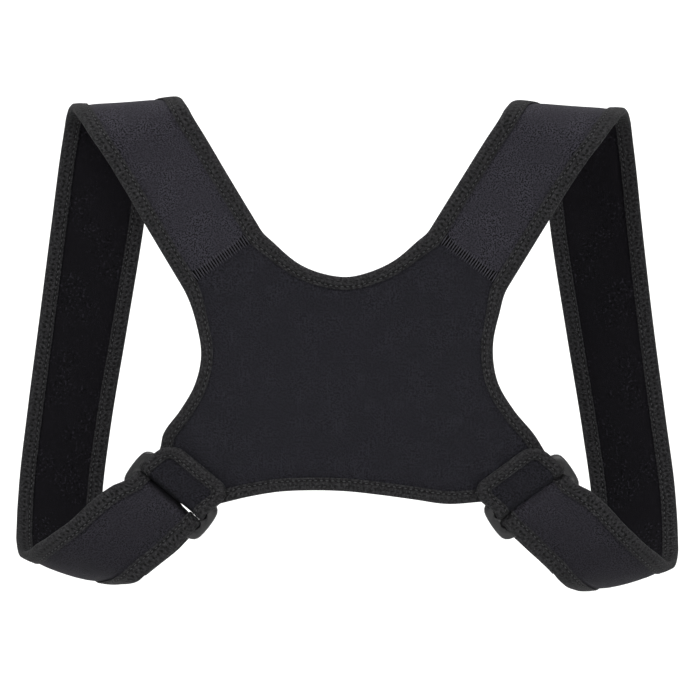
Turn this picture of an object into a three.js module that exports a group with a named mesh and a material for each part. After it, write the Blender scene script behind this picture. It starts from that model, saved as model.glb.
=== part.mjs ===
import * as THREE from 'three';

// Posture corrector in the shape it has on the wearer, seen from behind. Sizes are in millimetres.
// X runs to the wearer's right, Y to the wearer's front, Z up. The origin is between the two strap
// arches, at the height of their underside, where the shoulders carry the brace.

// Overall sizes
const SPAN = 430;          // breadth that the strap tables are shares of
const DROP = 300;          // height from the shoulders down to the folds under the arms
const DEPTH = 105;         // how far the straps reach in front of the back panel
const BACK = 43.5;         // middle of the panel behind the origin
const FLAT_FROM = 60;      // the panel is bowed as far out as this and goes on straight
const WING_SLOPE = 0.2;    // forward slope of the panel's wings

// Cloth
const FABRIC = 2.6;        // padded fabric of panel, straps and tabs
const TAPE = 0.6;          // edge tape
const GAP = 0.3;           // clearance between neighbouring pieces
const SHOULDER_WIDTH = 60.5; // strap over the shoulder
const STRAP_WIDTH = 54;    // strap at the ring
const STRAP_BAND = 10;     // breadth of the tape on the straps
const PANEL_BAND = 8;      // breadth of the tape on panel and tabs

// Rings and tabs
const RING_THICK = 3.4;
const RING_BEVEL = 1.1;
const RING_REACH = 29;     // ring size along the strap
const WINDOW = 10.4;       // opening between its two bars
const RING_ENDS = 2.4;     // breadth of the ring's end walls at their corners
const RING_BULGE = 2.3;    // rounding of the ends beyond their corners
const TAB_NARROWER = 1.4;  // the tab is this much narrower than the strap
const TAB_LENGTH = 27.6;   // outer leg, from the middle of the ring to its rounded end
const TAB_INSIDE = 24.6;   // inner leg
const TAB_ROUND = 11;      // corner radius of the rounded end
const PULL = 15;           // degrees between the pull of strap and tab and the square way over the bars
const RETURN = 44;         // strap length fastened back on the strap's inner side

// Mesh steps
const BEND_STEP = 12;      // degrees of bend or twist from one strap section to the next
const TURN_STEPS = 7;      // sections in the turn round a bar
const EDGE_STEPS = 3;      // steps between two rows of the neckline and the hem
const ARM_STEPS = 2;       // steps between two rows of an armhole

const BOUND = FABRIC + 2 * (GAP + TAPE);  // thickness over the tape
const INSET = GAP + TAPE;                 // the fabric ends this far inside the tape
const LEG = BOUND + GAP;                  // pitch of two bound layers
const TAB_WIDTH = STRAP_WIDTH - TAB_NARROWER;
const TAB_START = WINDOW / 2 + RING_THICK / 2;
const PULL_ANGLE = THREE.MathUtils.degToRad(PULL);

// Strap routes from the seam on the panel to the ring, a row per section. out is a share of half
// the span, off a share of the depth in front of the panel's surface, down a share of the drop.
// slant and toe turn the strap's breadth in degrees. taper runs from 0 at shoulder width and at
// the panel's surface to 1 at the ring's width and height.
const LEFT_ROUTE = [
  { out: 0.362, off: 0.00, down: 0.324, slant: 35, toe: 0, taper: 0 },
  { out: 0.457, off: 0.00, down: 0.214, slant: 31, toe: 0, taper: 0 },
  { out: 0.542, off: 0.00, down: 0.114, slant: 26, toe: 0, taper: 0 },
  { out: 0.600, off: 0.00, down: 0.050, slant: 17, toe: 0, taper: 0 },
  { out: 0.637, off: 0.10, down: 0.013, slant: 8, toe: 0, taper: 0 },
  { out: 0.664, off: 0.25, down: 0.000, slant: 4, toe: 1, taper: 0 },
  { out: 0.688, off: 0.46, down: 0.002, slant: 0, toe: 5, taper: 0 },
  { out: 0.710, off: 0.61, down: 0.028, slant: -2, toe: 11, taper: 0.05 },
  { out: 0.730, off: 0.69, down: 0.090, slant: -5, toe: 15, taper: 0.1 },
  { out: 0.760, off: 0.72, down: 0.249, slant: -7, toe: 18, taper: 0.15 },
  { out: 0.800, off: 0.73, down: 0.457, slant: -8, toe: 18, taper: 0.5 },
  { out: 0.840, off: 0.73, down: 0.666, slant: -8, toe: 18, taper: 0.85 },
  { out: 0.860, off: 0.69, down: 0.808, slant: -10, toe: 16, taper: 0.95 },
  { out: 0.861, off: 0.61, down: 0.885, slant: -12, toe: 12, taper: 1 },
  { out: 0.848, off: 0.46, down: 0.944, slant: -15, toe: 7, taper: 1 },
  { out: 0.816, off: 0.28, down: 0.974, slant: -16, toe: 3, taper: 1 },
  { out: 0.763, off: 0.11, down: 0.962, slant: -20, toe: 0, taper: 1 },
  { out: 0.704, off: 0.01, down: 0.935, slant: -31, toe: 0, taper: 1 },
  { out: 0.642, off: 0.00, down: 0.897, slant: -41, toe: 0, taper: 1 },
  { out: 0.579, off: 0.00, down: 0.860, slant: -41, toe: 0, taper: 1 },
  { out: 0.524, off: 0.00, down: 0.830, slant: -37.7, toe: 0, taper: 1 },
];
const RIGHT_ROUTE = [
  { out: 0.345, off: 0.00, down: 0.320, slant: 35, toe: 0, taper: 0 },
  { out: 0.437, off: 0.00, down: 0.211, slant: 31, toe: 0, taper: 0 },
  { out: 0.523, off: 0.00, down: 0.111, slant: 26, toe: 0, taper: 0 },
  { out: 0.581, off: 0.00, down: 0.049, slant: 17, toe: 0, taper: 0 },
  { out: 0.621, off: 0.10, down: 0.012, slant: 7, toe: 0, taper: 0 },
  { out: 0.651, off: 0.25, down: -0.002, slant: 3, toe: 1, taper: 0 },
  { out: 0.680, off: 0.46, down: 0.001, slant: -1, toe: 5, taper: 0 },
  { out: 0.703, off: 0.61, down: 0.028, slant: -3, toe: 11, taper: 0.05 },
  { out: 0.722, off: 0.69, down: 0.092, slant: -5, toe: 15, taper: 0.1 },
  { out: 0.751, off: 0.72, down: 0.249, slant: -7, toe: 18, taper: 0.2 },
  { out: 0.794, off: 0.73, down: 0.457, slant: -8, toe: 18, taper: 0.6 },
  { out: 0.841, off: 0.73, down: 0.668, slant: -8, toe: 18, taper: 0.9 },
  { out: 0.869, off: 0.69, down: 0.815, slant: -10, toe: 16, taper: 0.95 },
  { out: 0.873, off: 0.61, down: 0.896, slant: -12, toe: 12, taper: 1 },
  { out: 0.861, off: 0.46, down: 0.953, slant: -14, toe: 7, taper: 1 },
  { out: 0.829, off: 0.28, down: 0.981, slant: -15, toe: 3, taper: 1 },
  { out: 0.776, off: 0.11, down: 0.965, slant: -19, toe: 0, taper: 1 },
  { out: 0.715, off: 0.01, down: 0.929, slant: -30, toe: 0, taper: 1 },
  { out: 0.662, off: 0.00, down: 0.892, slant: -36, toe: 0, taper: 1 },
  { out: 0.608, off: 0.00, down: 0.856, slant: -37.5, toe: 0, taper: 1 },
  { out: 0.556, off: 0.00, down: 0.826, slant: -35.6, toe: 0, taper: 1 },
];

// Panel edges between the seams and corners: out as a share of half the span, down as a share of
// the drop. The neckline and the hem run from left to right, the armholes from seam to corner.
const NECKLINE = [
  { out: -0.214, down: 0.291 }, { out: -0.127, down: 0.340 }, { out: -0.064, down: 0.356 },
  { out: 0, down: 0.361 }, { out: 0.064, down: 0.350 }, { out: 0.130, down: 0.327 },
  { out: 0.194, down: 0.288 },
];
const HEM = [
  { out: -0.274, down: 0.811 }, { out: -0.190, down: 0.800 }, { out: -0.100, down: 0.796 },
  { out: 0, down: 0.797 }, { out: 0.100, down: 0.804 }, { out: 0.196, down: 0.813 },
  { out: 0.288, down: 0.822 },
];
const LEFT_ARMHOLE = [
  { out: 0.430, down: 0.464 }, { out: 0.417, down: 0.525 }, { out: 0.436, down: 0.587 },
  { out: 0.475, down: 0.636 }, { out: 0.524, down: 0.686 },
];
const RIGHT_ARMHOLE = [
  { out: 0.434, down: 0.433 }, { out: 0.417, down: 0.496 }, { out: 0.432, down: 0.573 },
  { out: 0.479, down: 0.629 }, { out: 0.541, down: 0.681 },
];

const vec = (x, y, z) => new THREE.Vector3(x, y, z);
const MIRROR = vec(-1, 1, 1);

function material(color, roughness, metalness = 0) {
  return new THREE.MeshStandardMaterial({ color, roughness, metalness });
}

// Y of the panel's middle surface, and its slope, at a distance from the middle of the back
function wingY(x) {
  const out = Math.abs(x);
  const bow = Math.min(out, FLAT_FROM);
  return -BACK + WING_SLOPE * bow * bow / (2 * FLAT_FROM) + WING_SLOPE * (out - bow);
}
function wingNormal(x) {
  const slope = WING_SLOPE * Math.min(Math.abs(x), FLAT_FROM) / FLAT_FROM * Math.sign(x);
  return vec(slope, -1, 0).normalize();
}

// A smooth curve through rows of numbers, spaced by the distance between their places
function curve(rows, size, steps, startSlope, endSlope) {
  const gap = (a, b) => Math.hypot(...a.slice(0, size).map((value, k) => value - b[k]));
  const chord = rows.slice(1).map((row, i) => gap(row, rows[i]));
  const slope = rows.map((row, i) => row.map((value, k) => {
    if (i === 0) return startSlope ? startSlope[k] : (rows[1][k] - value) / chord[0];
    if (i === rows.length - 1) return endSlope ? endSlope[k] : (value - rows[i - 1][k]) / chord[i - 1];
    const before = (value - rows[i - 1][k]) / chord[i - 1];
    const after = (rows[i + 1][k] - value) / chord[i];
    return (before * chord[i] + after * chord[i - 1]) / (chord[i] + chord[i - 1]);
  }));
  const points = [];
  for (let i = 0; i + 1 < rows.length; i++) {
    const count = typeof steps === 'number' ? steps : steps(rows, slope, i);
    for (let j = 0; j < count; j++) {
      const t = j / count;
      const a = 2 * t ** 3 - 3 * t ** 2 + 1;
      const b = (t ** 3 - 2 * t ** 2 + t) * chord[i];
      const d = (t ** 3 - t ** 2) * chord[i];
      points.push(rows[i].map((value, k) =>
        a * value + b * slope[i][k] + (1 - a) * rows[i + 1][k] + d * slope[i + 1][k]));
    }
  }
  points.push(rows[rows.length - 1].slice());
  return points;
}

// More sections where a strap bends or twists more between two rows of its table
function bendSteps(rows, slope, i) {
  const aim = (k) => vec(slope[k][0], slope[k][1], slope[k][2]);
  const bend = THREE.MathUtils.radToDeg(aim(i).angleTo(aim(i + 1)));
  const twist = Math.hypot(rows[i + 1][3] - rows[i][3], rows[i + 1][4] - rows[i][4]);
  return Math.max(1, Math.ceil((bend + twist) / BEND_STEP));
}

// A closed mesh from points and triangles, turned so that its faces point outwards
function solid(name, points, faces, look) {
  let volume = 0;
  for (const [a, b, c] of faces) volume += points[a].dot(points[b].clone().cross(points[c]));
  const index = faces.flatMap(([a, b, c]) => (volume < 0 ? [a, c, b] : [a, b, c]));
  const geometry = new THREE.BufferGeometry();
  geometry.setAttribute('position',
    new THREE.Float32BufferAttribute(points.flatMap((p) => [p.x, p.y, p.z]), 3));
  geometry.setIndex(index);
  geometry.computeVertexNormals();
  const mesh = new THREE.Mesh(geometry, look);
  mesh.name = name;
  return mesh;
}

// A tube between rings of points that all follow the same flat outline
function loft(name, rings, outline, look) {
  const count = outline.length;
  const faces = [];
  for (let i = 0; i + 1 < rings.length; i++) {
    for (let j = 0; j < count; j++) {
      const a = i * count + j;
      const b = i * count + (j + 1) % count;
      faces.push([a, b, a + count], [b, b + count, a + count]);
    }
  }
  const flat = outline.map(([x, y]) => new THREE.Vector2(x, y));
  const counter = THREE.ShapeUtils.isClockWise(flat) ? 1 : -1;
  const last = (rings.length - 1) * count;
  for (const [a, b, c] of THREE.ShapeUtils.triangulateShape(flat, [])) {
    const turn = (flat[b].x - flat[a].x) * (flat[c].y - flat[a].y)
      - (flat[c].x - flat[a].x) * (flat[b].y - flat[a].y);
    const [p, q] = turn * counter < 0 ? [b, c] : [c, b];
    faces.push([a, q, p], [last + a, last + p, last + q]);
  }
  return solid(name, rings.flat(), faces, look);
}

// The strap's sections from the seam to the ring, in the left side's place
function route(rows) {
  const places = rows.map(({ out, off, down, slant, toe, taper }) => {
    const x = -out * SPAN / 2;
    const lift = taper * LEG * Math.hypot(1, WING_SLOPE);
    return [x, wingY(x) + off * DEPTH - lift, -down * DROP, slant, toe, taper];
  });
  const lastSlant = THREE.MathUtils.degToRad(rows[rows.length - 1].slant);
  const yaw = -Math.atan(WING_SLOPE);
  const endAcross = vec(Math.cos(lastSlant) * Math.cos(yaw), Math.cos(lastSlant) * Math.sin(yaw),
    Math.sin(lastSlant));
  const endTangent = endAcross.clone().cross(vec(Math.sin(yaw), -Math.cos(yaw), 0)).negate();
  if (endTangent.z < 0) endTangent.negate();
  const before = places[places.length - 2];
  const end = places[places.length - 1];
  const endChord = vec(end[0] - before[0], end[1] - before[1], end[2] - before[2]).length();
  const pull = endTangent.clone().multiplyScalar(Math.cos(PULL_ANGLE))
    .addScaledVector(endAcross, Math.sin(PULL_ANGLE));
  const endSlope = [pull.x, pull.y, pull.z, (end[3] - before[3]) / endChord, 0, 0];
  const points = curve(places, 3, bendSteps, null, endSlope);
  return points.map((point, i) => {
    const place = vec(point[0], point[1], point[2]);
    const a = points[Math.max(i - 1, 0)];
    const b = points[Math.min(i + 1, points.length - 1)];
    const tangent = i === points.length - 1 ? endTangent.clone()
      : vec(b[0] - a[0], b[1] - a[1], b[2] - a[2]).normalize();
    const slant = THREE.MathUtils.degToRad(point[3]);
    const turn = yaw + THREE.MathUtils.degToRad(point[4]);
    const across = vec(Math.cos(slant) * Math.cos(turn), Math.cos(slant) * Math.sin(turn),
      Math.sin(slant));
    const normal = across.clone().cross(tangent);
    const skew = 1 / normal.length();
    const taper = Math.min(Math.max(point[5], 0), 1);
    const half = (SHOULDER_WIDTH + (STRAP_WIDTH - SHOULDER_WIDTH) * taper) / 2;
    return { place, tangent, across, normal: normal.normalize(), skew, half };
  });
}

// Adds the turn round the ring's outer bar and the length fastened back on the inner side
function wrap(sections) {
  const end = sections[sections.length - 1];
  const centre = end.place.clone().addScaledVector(end.normal, -LEG);
  const wrapped = sections.slice();
  for (let i = 1; i <= TURN_STEPS; i++) {
    const angle = Math.PI * i / TURN_STEPS;
    const normal = end.normal.clone().multiplyScalar(Math.cos(angle))
      .addScaledVector(end.tangent, Math.sin(angle));
    wrapped.push({ ...end, normal, place: centre.clone().addScaledVector(normal, LEG) });
  }
  let run = 0;
  for (let i = sections.length - 2; i >= 0 && run < RETURN; i--) {
    const section = sections[i];
    run += section.place.distanceTo(sections[i + 1].place);
    const bar = (RING_REACH - WINDOW) / 2 + LEG;
    const close = THREE.MathUtils.smoothstep(run, bar, bar + 3 * LEG);
    const apart = LEG * (2 - 0.97 * close);
    wrapped.push({
      ...section,
      place: section.place.clone().addScaledVector(section.normal, -apart),
      normal: section.normal.clone().negate(),
    });
  }
  return wrapped;
}

// The ring lies on the panel's middle surface. t points to the panel, a along the bars.
function ringFrame(sections) {
  const end = sections[sections.length - 1];
  const bar = RING_THICK / 2;
  return {
    centre: end.place.clone().addScaledVector(end.normal, -LEG)
      .addScaledVector(end.tangent, bar + WINDOW / 2),
    t: end.tangent, a: end.across, n: end.normal,
  };
}
const spot = ({ centre, t, a, n }, along, across, rise) => centre.clone()
  .addScaledVector(t, along).addScaledVector(a, across).addScaledVector(n, rise);
// The tab and the panel's corner in it lean sideways with the pull
const lean = (along) => Math.max(along - TAB_START, 0) * Math.tan(PULL_ANGLE);

const flip = (point, side) => (side > 0 ? point.clone().multiply(MIRROR) : point.clone());
const flipFrame = (frame, side) => ({
  ...frame, edge: flip(frame.edge, side), inward: flip(frame.inward, side),
  normal: flip(frame.normal, side),
});

// A fabric ribbon through sections, a little narrower than the tape round its edges
function ribbon(name, sections, side, look) {
  const outline = [[-2, 1], [-1, 1], [1, 1], [2, 1], [2, -1], [1, -1], [-1, -1], [-2, -1]];
  const rings = sections.map(({ place, across, normal, skew, half }) => outline.map(([x, y]) => {
    const reach = Math.abs(x) > 1 ? half - INSET : half - STRAP_BAND;
    return flip(place.clone().addScaledVector(across, Math.sign(x) * reach * skew)
      .addScaledVector(normal, y * FABRIC / 2), side);
  }));
  return loft(name, rings, outline, look);
}

// Edge tape folded over a fabric edge, through frames with an edge point, the direction into the
// fabric, the fabric's normal and the tape's breadth
function channel(name, frames, look) {
  const high = BOUND / 2;
  const low = high - TAPE;
  const outline = [[0, high], [1, high], [1, low], [0, low], [0, -low], [1, -low], [1, -high],
    [0, -high]];
  const rings = frames.map(({ edge, inward, normal, skew, band }) => outline.map(([x, y]) => {
    const depth = x === 0 && Math.abs(y) < high ? TAPE : x * band;
    return edge.clone().addScaledVector(inward, depth * skew).addScaledVector(normal, y);
  }));
  return loft(name, rings, outline.map(([x, y]) => [x === 0 && Math.abs(y) < high ? TAPE
    : x * PANEL_BAND, y]), look);
}

// Frames along one edge of a strap: -1 is its outer edge, 1 its inner one
function strapEdge(sections, edge, side) {
  return sections.map(({ place, across, normal, skew, half }) => flipFrame({
    edge: place.clone().addScaledVector(across, edge * half * skew),
    inward: across.clone().multiplyScalar(-edge), normal, skew, band: STRAP_BAND,
  }, side));
}

// Frames along an edge of the panel from points in its flat view. sign picks the inward side.
function panelEdge(points, sign, bandStart, bandEnd) {
  const places = points.map(([x, z]) => vec(x, wingY(x), z));
  return places.map((edge, i) => {
    const tangent = places[Math.min(i + 1, places.length - 1)].clone()
      .sub(places[Math.max(i - 1, 0)]).normalize();
    const normal = wingNormal(edge.x);
    const inward = normal.clone().cross(tangent).multiplyScalar(sign).normalize();
    const share = i / (places.length - 1);
    const ease = Math.min(1, 4 * Math.min(bandStart ? share : 1, bandEnd ? 1 - share : 1));
    return {
      edge, inward, normal, skew: 1, band: STRAP_BAND + (PANEL_BAND - STRAP_BAND) * ease,
    };
  });
}
const share = ({ out, down }) => [out * SPAN / 2, -down * DROP];

const navy = material('#26262b', 0.85);
const dark = material('#222126', 0.9);
const tape = material('#2b2b2d', 0.95);
const plastic = material('#3a3a3d', 0.35);

const group = new THREE.Group();
group.name = 'posture_corrector';

const sides = [
  { word: 'left', side: -1, rows: LEFT_ROUTE, armhole: LEFT_ARMHOLE },
  { word: 'right', side: 1, rows: RIGHT_ROUTE, armhole: RIGHT_ARMHOLE },
].map((entry) => {
  const sections = route(entry.rows);
  const first = sections[0];
  const seam = (edge) => first.place.clone().addScaledVector(first.across, edge * first.half * first.skew)
    .addScaledVector(first.tangent, -GAP * first.skew * 1.1);
  const frame = ringFrame(sections);
  const cornerAt = RING_REACH / 2 + 1.5;
  return {
    ...entry, sections, frame,
    wrapped: wrap(sections),
    seamOuter: seam(-1), seamInner: seam(1),
    cornerUp: spot(frame, cornerAt, lean(cornerAt) - TAB_WIDTH / 2 + 1, 0),
    cornerLow: spot(frame, cornerAt, lean(cornerAt) + TAB_WIDTH / 2 - 1, 0),
  };
});
const flat = (point, side) => [side > 0 ? -point.x : point.x, point.z];

// Panel edges in the flat view
const [left, right] = sides;
const slopeOf = (vector, side) => [side > 0 ? -vector.x : vector.x, vector.z];
const edgeSlope = (sections, edge, side) => {
  const at = (k) => sections[k].place.clone()
    .addScaledVector(sections[k].across, edge * sections[k].half * sections[k].skew);
  return slopeOf(at(0).sub(at(1)).normalize(), side);
};
const neckPoints = curve(
  [flat(left.seamInner, -1), ...NECKLINE.map(share), flat(right.seamInner, 1)], 2, EDGE_STEPS,
  edgeSlope(left.sections, 1, -1), edgeSlope(right.sections, 1, 1).map((value) => -value));
const hemPoints = curve(
  [flat(left.cornerLow, -1), ...HEM.map(share), flat(right.cornerLow, 1)], 2, EDGE_STEPS);
for (const entry of sides) {
  const { side, sections, armhole, frame } = entry;
  entry.armPoints = curve(
    [flat(entry.seamOuter, side), ...armhole.map(share).map(([x, z]) => [x * side, z]),
      flat(entry.cornerUp, side)], 2, ARM_STEPS, edgeSlope(sections, -1, side),
    slopeOf(frame.t, side).map((value) => -value));
  entry.armFrames = panelEdge(entry.armPoints, side < 0 ? 1 : -1, true, false);
}
const neckFrames = panelEdge(neckPoints, -1, true, true);
const hemFrames = panelEdge(hemPoints, 1, false, false);

// The panel is a net between its four borders, laid on the bowed surface
function panel(name, look) {
  const inset = (frames) => frames.map(({ edge, inward }) => {
    const point = edge.clone().addScaledVector(inward, INSET);
    return [point.x, point.z];
  });
  const between = (a, b) => Array.from({ length: EDGE_STEPS }, (_, i) =>
    a.map((value, k) => value + (b[k] - value) * (i + 1) / (EDGE_STEPS + 1)));
  const neck = inset(neckFrames);
  const hem = inset(hemFrames);
  const arms = sides.map(({ armFrames }) => inset(armFrames));
  const [leftArm, rightArm] = arms;
  const low = (arm) => arm[arm.length - 1];
  const border = (start, middle, end) => [start, ...between(start, middle[0]), ...middle,
    ...between(middle[middle.length - 1], end), end];
  const top = border(leftArm[0], neck, rightArm[0]);
  const bottom = border(low(leftArm), hem, low(rightArm));
  const across = top.length;
  const down = leftArm.length;
  const net = [];
  for (let j = 0; j < down; j++) {
    const t = j / (down - 1);
    for (let i = 0; i < across; i++) {
      const s = i / (across - 1);
      net.push([0, 1].map((c) => (1 - t) * top[i][c] + t * bottom[i][c]
        + (1 - s) * leftArm[j][c] + s * rightArm[j][c]
        - (1 - s) * (1 - t) * top[0][c] - s * (1 - t) * top[across - 1][c]
        - (1 - s) * t * bottom[0][c] - s * t * bottom[across - 1][c]));
    }
  }
  const points = [];
  for (const rise of [FABRIC / 2, -FABRIC / 2]) {
    for (const [x, z] of net) {
      points.push(vec(x, wingY(x), z).addScaledVector(wingNormal(x), rise));
    }
  }
  const back = across * down;
  const faces = [];
  for (let j = 0; j + 1 < down; j++) {
    for (let i = 0; i + 1 < across; i++) {
      const a = j * across + i;
      const [b, c, d] = [a + 1, a + across, a + across + 1];
      faces.push([a, b, c], [b, d, c]);
      faces.push([back + a, back + c, back + b], [back + b, back + c, back + d]);
    }
  }
  const rim = [];
  for (let i = 0; i < across - 1; i++) rim.push(i);
  for (let j = 0; j < down - 1; j++) rim.push(j * across + across - 1);
  for (let i = across - 1; i > 0; i--) rim.push((down - 1) * across + i);
  for (let j = down - 1; j > 0; j--) rim.push(j * across);
  rim.forEach((a, k) => {
    const b = rim[(k + 1) % rim.length];
    faces.push([a, back + a, b], [b, back + a, back + b]);
  });
  return solid(name, points, faces, look);
}

// A flat ring with two straight bars and bulged ends
function ring(name, frame, side, look) {
  const reach = RING_REACH / 2 - RING_BEVEL;
  const slot = STRAP_WIDTH / 2 + GAP + 0.1;
  const corner = slot + RING_ENDS - RING_BEVEL;
  const shape = new THREE.Shape();
  shape.moveTo(-reach + 4, -corner);
  shape.quadraticCurveTo(0, -corner - 2 * RING_BULGE, reach - 4, -corner);
  shape.quadraticCurveTo(reach, -corner, reach, -corner + 5);
  shape.lineTo(reach, corner - 5);
  shape.quadraticCurveTo(reach, corner, reach - 4, corner);
  shape.quadraticCurveTo(0, corner + 2 * RING_BULGE, -reach + 4, corner);
  shape.quadraticCurveTo(-reach, corner, -reach, corner - 5);
  shape.lineTo(-reach, -corner + 5);
  shape.quadraticCurveTo(-reach, -corner, -reach + 4, -corner);
  const half = WINDOW / 2 + RING_BEVEL;
  const long = slot + RING_BEVEL;
  const hole = new THREE.Path();
  hole.moveTo(-half, -long);
  hole.lineTo(-half, long);
  hole.lineTo(half, long);
  hole.lineTo(half, -long);
  hole.closePath();
  shape.holes.push(hole);
  const geometry = new THREE.ExtrudeGeometry(shape, {
    depth: RING_THICK - 2 * RING_BEVEL, bevelEnabled: true, bevelThickness: RING_BEVEL,
    bevelSize: RING_BEVEL, bevelSegments: 3, curveSegments: 6,
  });
  geometry.translate(0, 0, -(RING_THICK - 2 * RING_BEVEL) / 2);
  const position = geometry.getAttribute('position');
  const seen = new Map();
  const points = [];
  const at = [];
  for (let i = 0; i < position.count; i++) {
    const key = [position.getX(i), position.getY(i), position.getZ(i)]
      .map((value) => Math.round(value * 1e4)).join();
    if (!seen.has(key)) {
      seen.set(key, points.length);
      points.push(flip(spot(frame, position.getX(i), position.getY(i), position.getZ(i)), side));
    }
    at.push(seen.get(key));
  }
  const faces = [];
  for (let i = 0; i < at.length; i += 3) {
    const face = [at[i], at[i + 1], at[i + 2]];
    if (new Set(face).size === 3) faces.push(face);
  }
  return solid(name, points, faces, look);
}

// The tab's outline round its rounded end, as points with the direction inwards
function tabEnd(inset) {
  const half = TAB_WIDTH / 2 - inset;
  const end = TAB_LENGTH - inset;
  const radius = TAB_ROUND - inset;
  const points = [{ t: TAB_START, a: -half, inward: [0, 1] }];
  points.push({ t: (TAB_START + end - radius) / 2, a: -half, inward: [0, 1] });
  for (let i = 0; i <= 6; i++) {
    const angle = Math.PI / 2 * i / 6;
    points.push({
      t: end - radius + radius * Math.sin(angle), a: -half + radius - radius * Math.cos(angle),
      inward: [-Math.sin(angle), Math.cos(angle)],
    });
  }
  points.push({ t: end, a: 0, inward: [-1, 0] });
  const mirrored = points.slice(0, -1).reverse()
    .map(({ t, a, inward }) => ({ t, a: -a, inward: [inward[0], -inward[1]] }));
  return [...points, ...mirrored];
}

// The tab goes from its rounded end on the panel's outer face round the bar to the inner face
function tab(name, frame, side, look) {
  const half = TAB_WIDTH / 2;
  const sections = [];
  const outer = tabEnd(INSET).slice(0, 9).reverse();
  for (const { t, a } of outer.slice(1)) {
    sections.push({ place: spot(frame, t, lean(t), LEG), normal: frame.n, half: -a + INSET });
  }
  const along = ({ place }) => place.clone().sub(frame.centre).dot(frame.t);
  sections.sort((p, q) => along(q) - along(p));
  for (let i = 1; i <= TURN_STEPS; i++) {
    const angle = Math.PI * i / TURN_STEPS;
    const normal = frame.n.clone().multiplyScalar(Math.cos(angle))
      .addScaledVector(frame.t, -Math.sin(angle));
    sections.push({ place: spot(frame, TAB_START, 0, 0).addScaledVector(normal, LEG), normal, half });
  }
  sections.push({
    place: spot(frame, TAB_INSIDE, lean(TAB_INSIDE), -LEG), normal: frame.n.clone().negate(), half,
  });
  return ribbon(name, sections.map((section) => ({ ...section, across: frame.a, skew: 1 })), side, look);
}

function tabTape(name, frame, side, look) {
  return channel(name, tabEnd(0).map(({ t, a, inward }) => flipFrame({
    edge: spot(frame, t, a + lean(t), LEG),
    inward: frame.t.clone().multiplyScalar(inward[0])
      .addScaledVector(frame.a, inward[1] + inward[0] * Math.tan(PULL_ANGLE)),
    normal: frame.n, skew: 1, band: PANEL_BAND,
  }, side)), look);
}

group.add(panel('back_panel', navy));
for (const { word, side, wrapped, frame, armFrames } of sides) {
  group.add(ribbon(`${word}_strap`, wrapped, side, dark));
  group.add(channel(`${word}_arm_binding`,
    [...strapEdge(wrapped, -1, side).reverse(), ...armFrames.slice(1)], tape));
  group.add(ring(`${word}_ring`, frame, side, plastic));
  group.add(tab(`${word}_tab`, frame, side, navy));
  group.add(tabTape(`${word}_tab_binding`, frame, side, tape));
}
group.add(channel('neck_binding', [
  ...strapEdge(left.wrapped, 1, -1).reverse(), ...neckFrames.slice(1, -1),
  ...strapEdge(right.wrapped, 1, 1),
], tape));
group.add(channel('hem_binding', hemFrames, tape));

export default group;
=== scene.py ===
import math

import bpy
import numpy as np
from mathutils import Matrix, Vector


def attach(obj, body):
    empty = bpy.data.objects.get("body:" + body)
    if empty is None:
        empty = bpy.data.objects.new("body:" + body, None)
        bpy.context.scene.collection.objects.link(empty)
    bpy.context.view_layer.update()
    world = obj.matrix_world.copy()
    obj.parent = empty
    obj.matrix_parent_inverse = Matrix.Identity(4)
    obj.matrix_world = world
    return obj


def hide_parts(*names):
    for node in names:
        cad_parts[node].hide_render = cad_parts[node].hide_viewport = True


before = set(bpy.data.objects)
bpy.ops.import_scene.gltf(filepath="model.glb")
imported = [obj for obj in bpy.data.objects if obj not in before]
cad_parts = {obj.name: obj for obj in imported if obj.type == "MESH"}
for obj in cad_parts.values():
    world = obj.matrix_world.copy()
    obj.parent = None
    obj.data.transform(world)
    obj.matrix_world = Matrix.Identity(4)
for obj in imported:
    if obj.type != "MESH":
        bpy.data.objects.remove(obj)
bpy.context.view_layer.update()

bl_info = {
    "name": "Posture corrector",
    "version": (1, 0, 0),
    "blender": (4, 5, 0),
    "location": "View3D > Sidebar > Posture corrector",
    "description": "Builds the cloth, edge tape, stitching, tabs and rings of a posture corrector",
    "category": "Object",
}

MM = 0.001

# Overall sizes in millimetres, the same as the frame's
SPAN = 430
DROP = 300
DEPTH = 105
BACK = 43.5
FLAT_FROM = 60
WING_SLOPE = 0.2
FABRIC = 2.6
TAPE = 0.6
GAP = 0.3
SHOULDER_WIDTH = 60.5
STRAP_WIDTH = 54
STRAP_BAND = 10
PANEL_BAND = 8
RING_THICK = 3.4
RING_REACH = 29
WINDOW = 10.4
RING_ENDS = 2.4
RING_BULGE = 2.3
TAB_LENGTH = 27.6
TAB_INSIDE = 24.6
TAB_ROUND = 11
PULL = math.radians(15)
WING_TURN = math.atan(WING_SLOPE)
RETURN = 44
# The end fastened back closes up to the strap by this share, over this many times a leg's height
CLOSED = 0.97
CLOSING = 3
BOUND = FABRIC + 2 * (GAP + TAPE)
LEG = BOUND + GAP
INSET = GAP + TAPE
TAB_WIDTH = STRAP_WIDTH - 1.4
TAB_START = WINDOW / 2 + RING_THICK / 2

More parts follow.
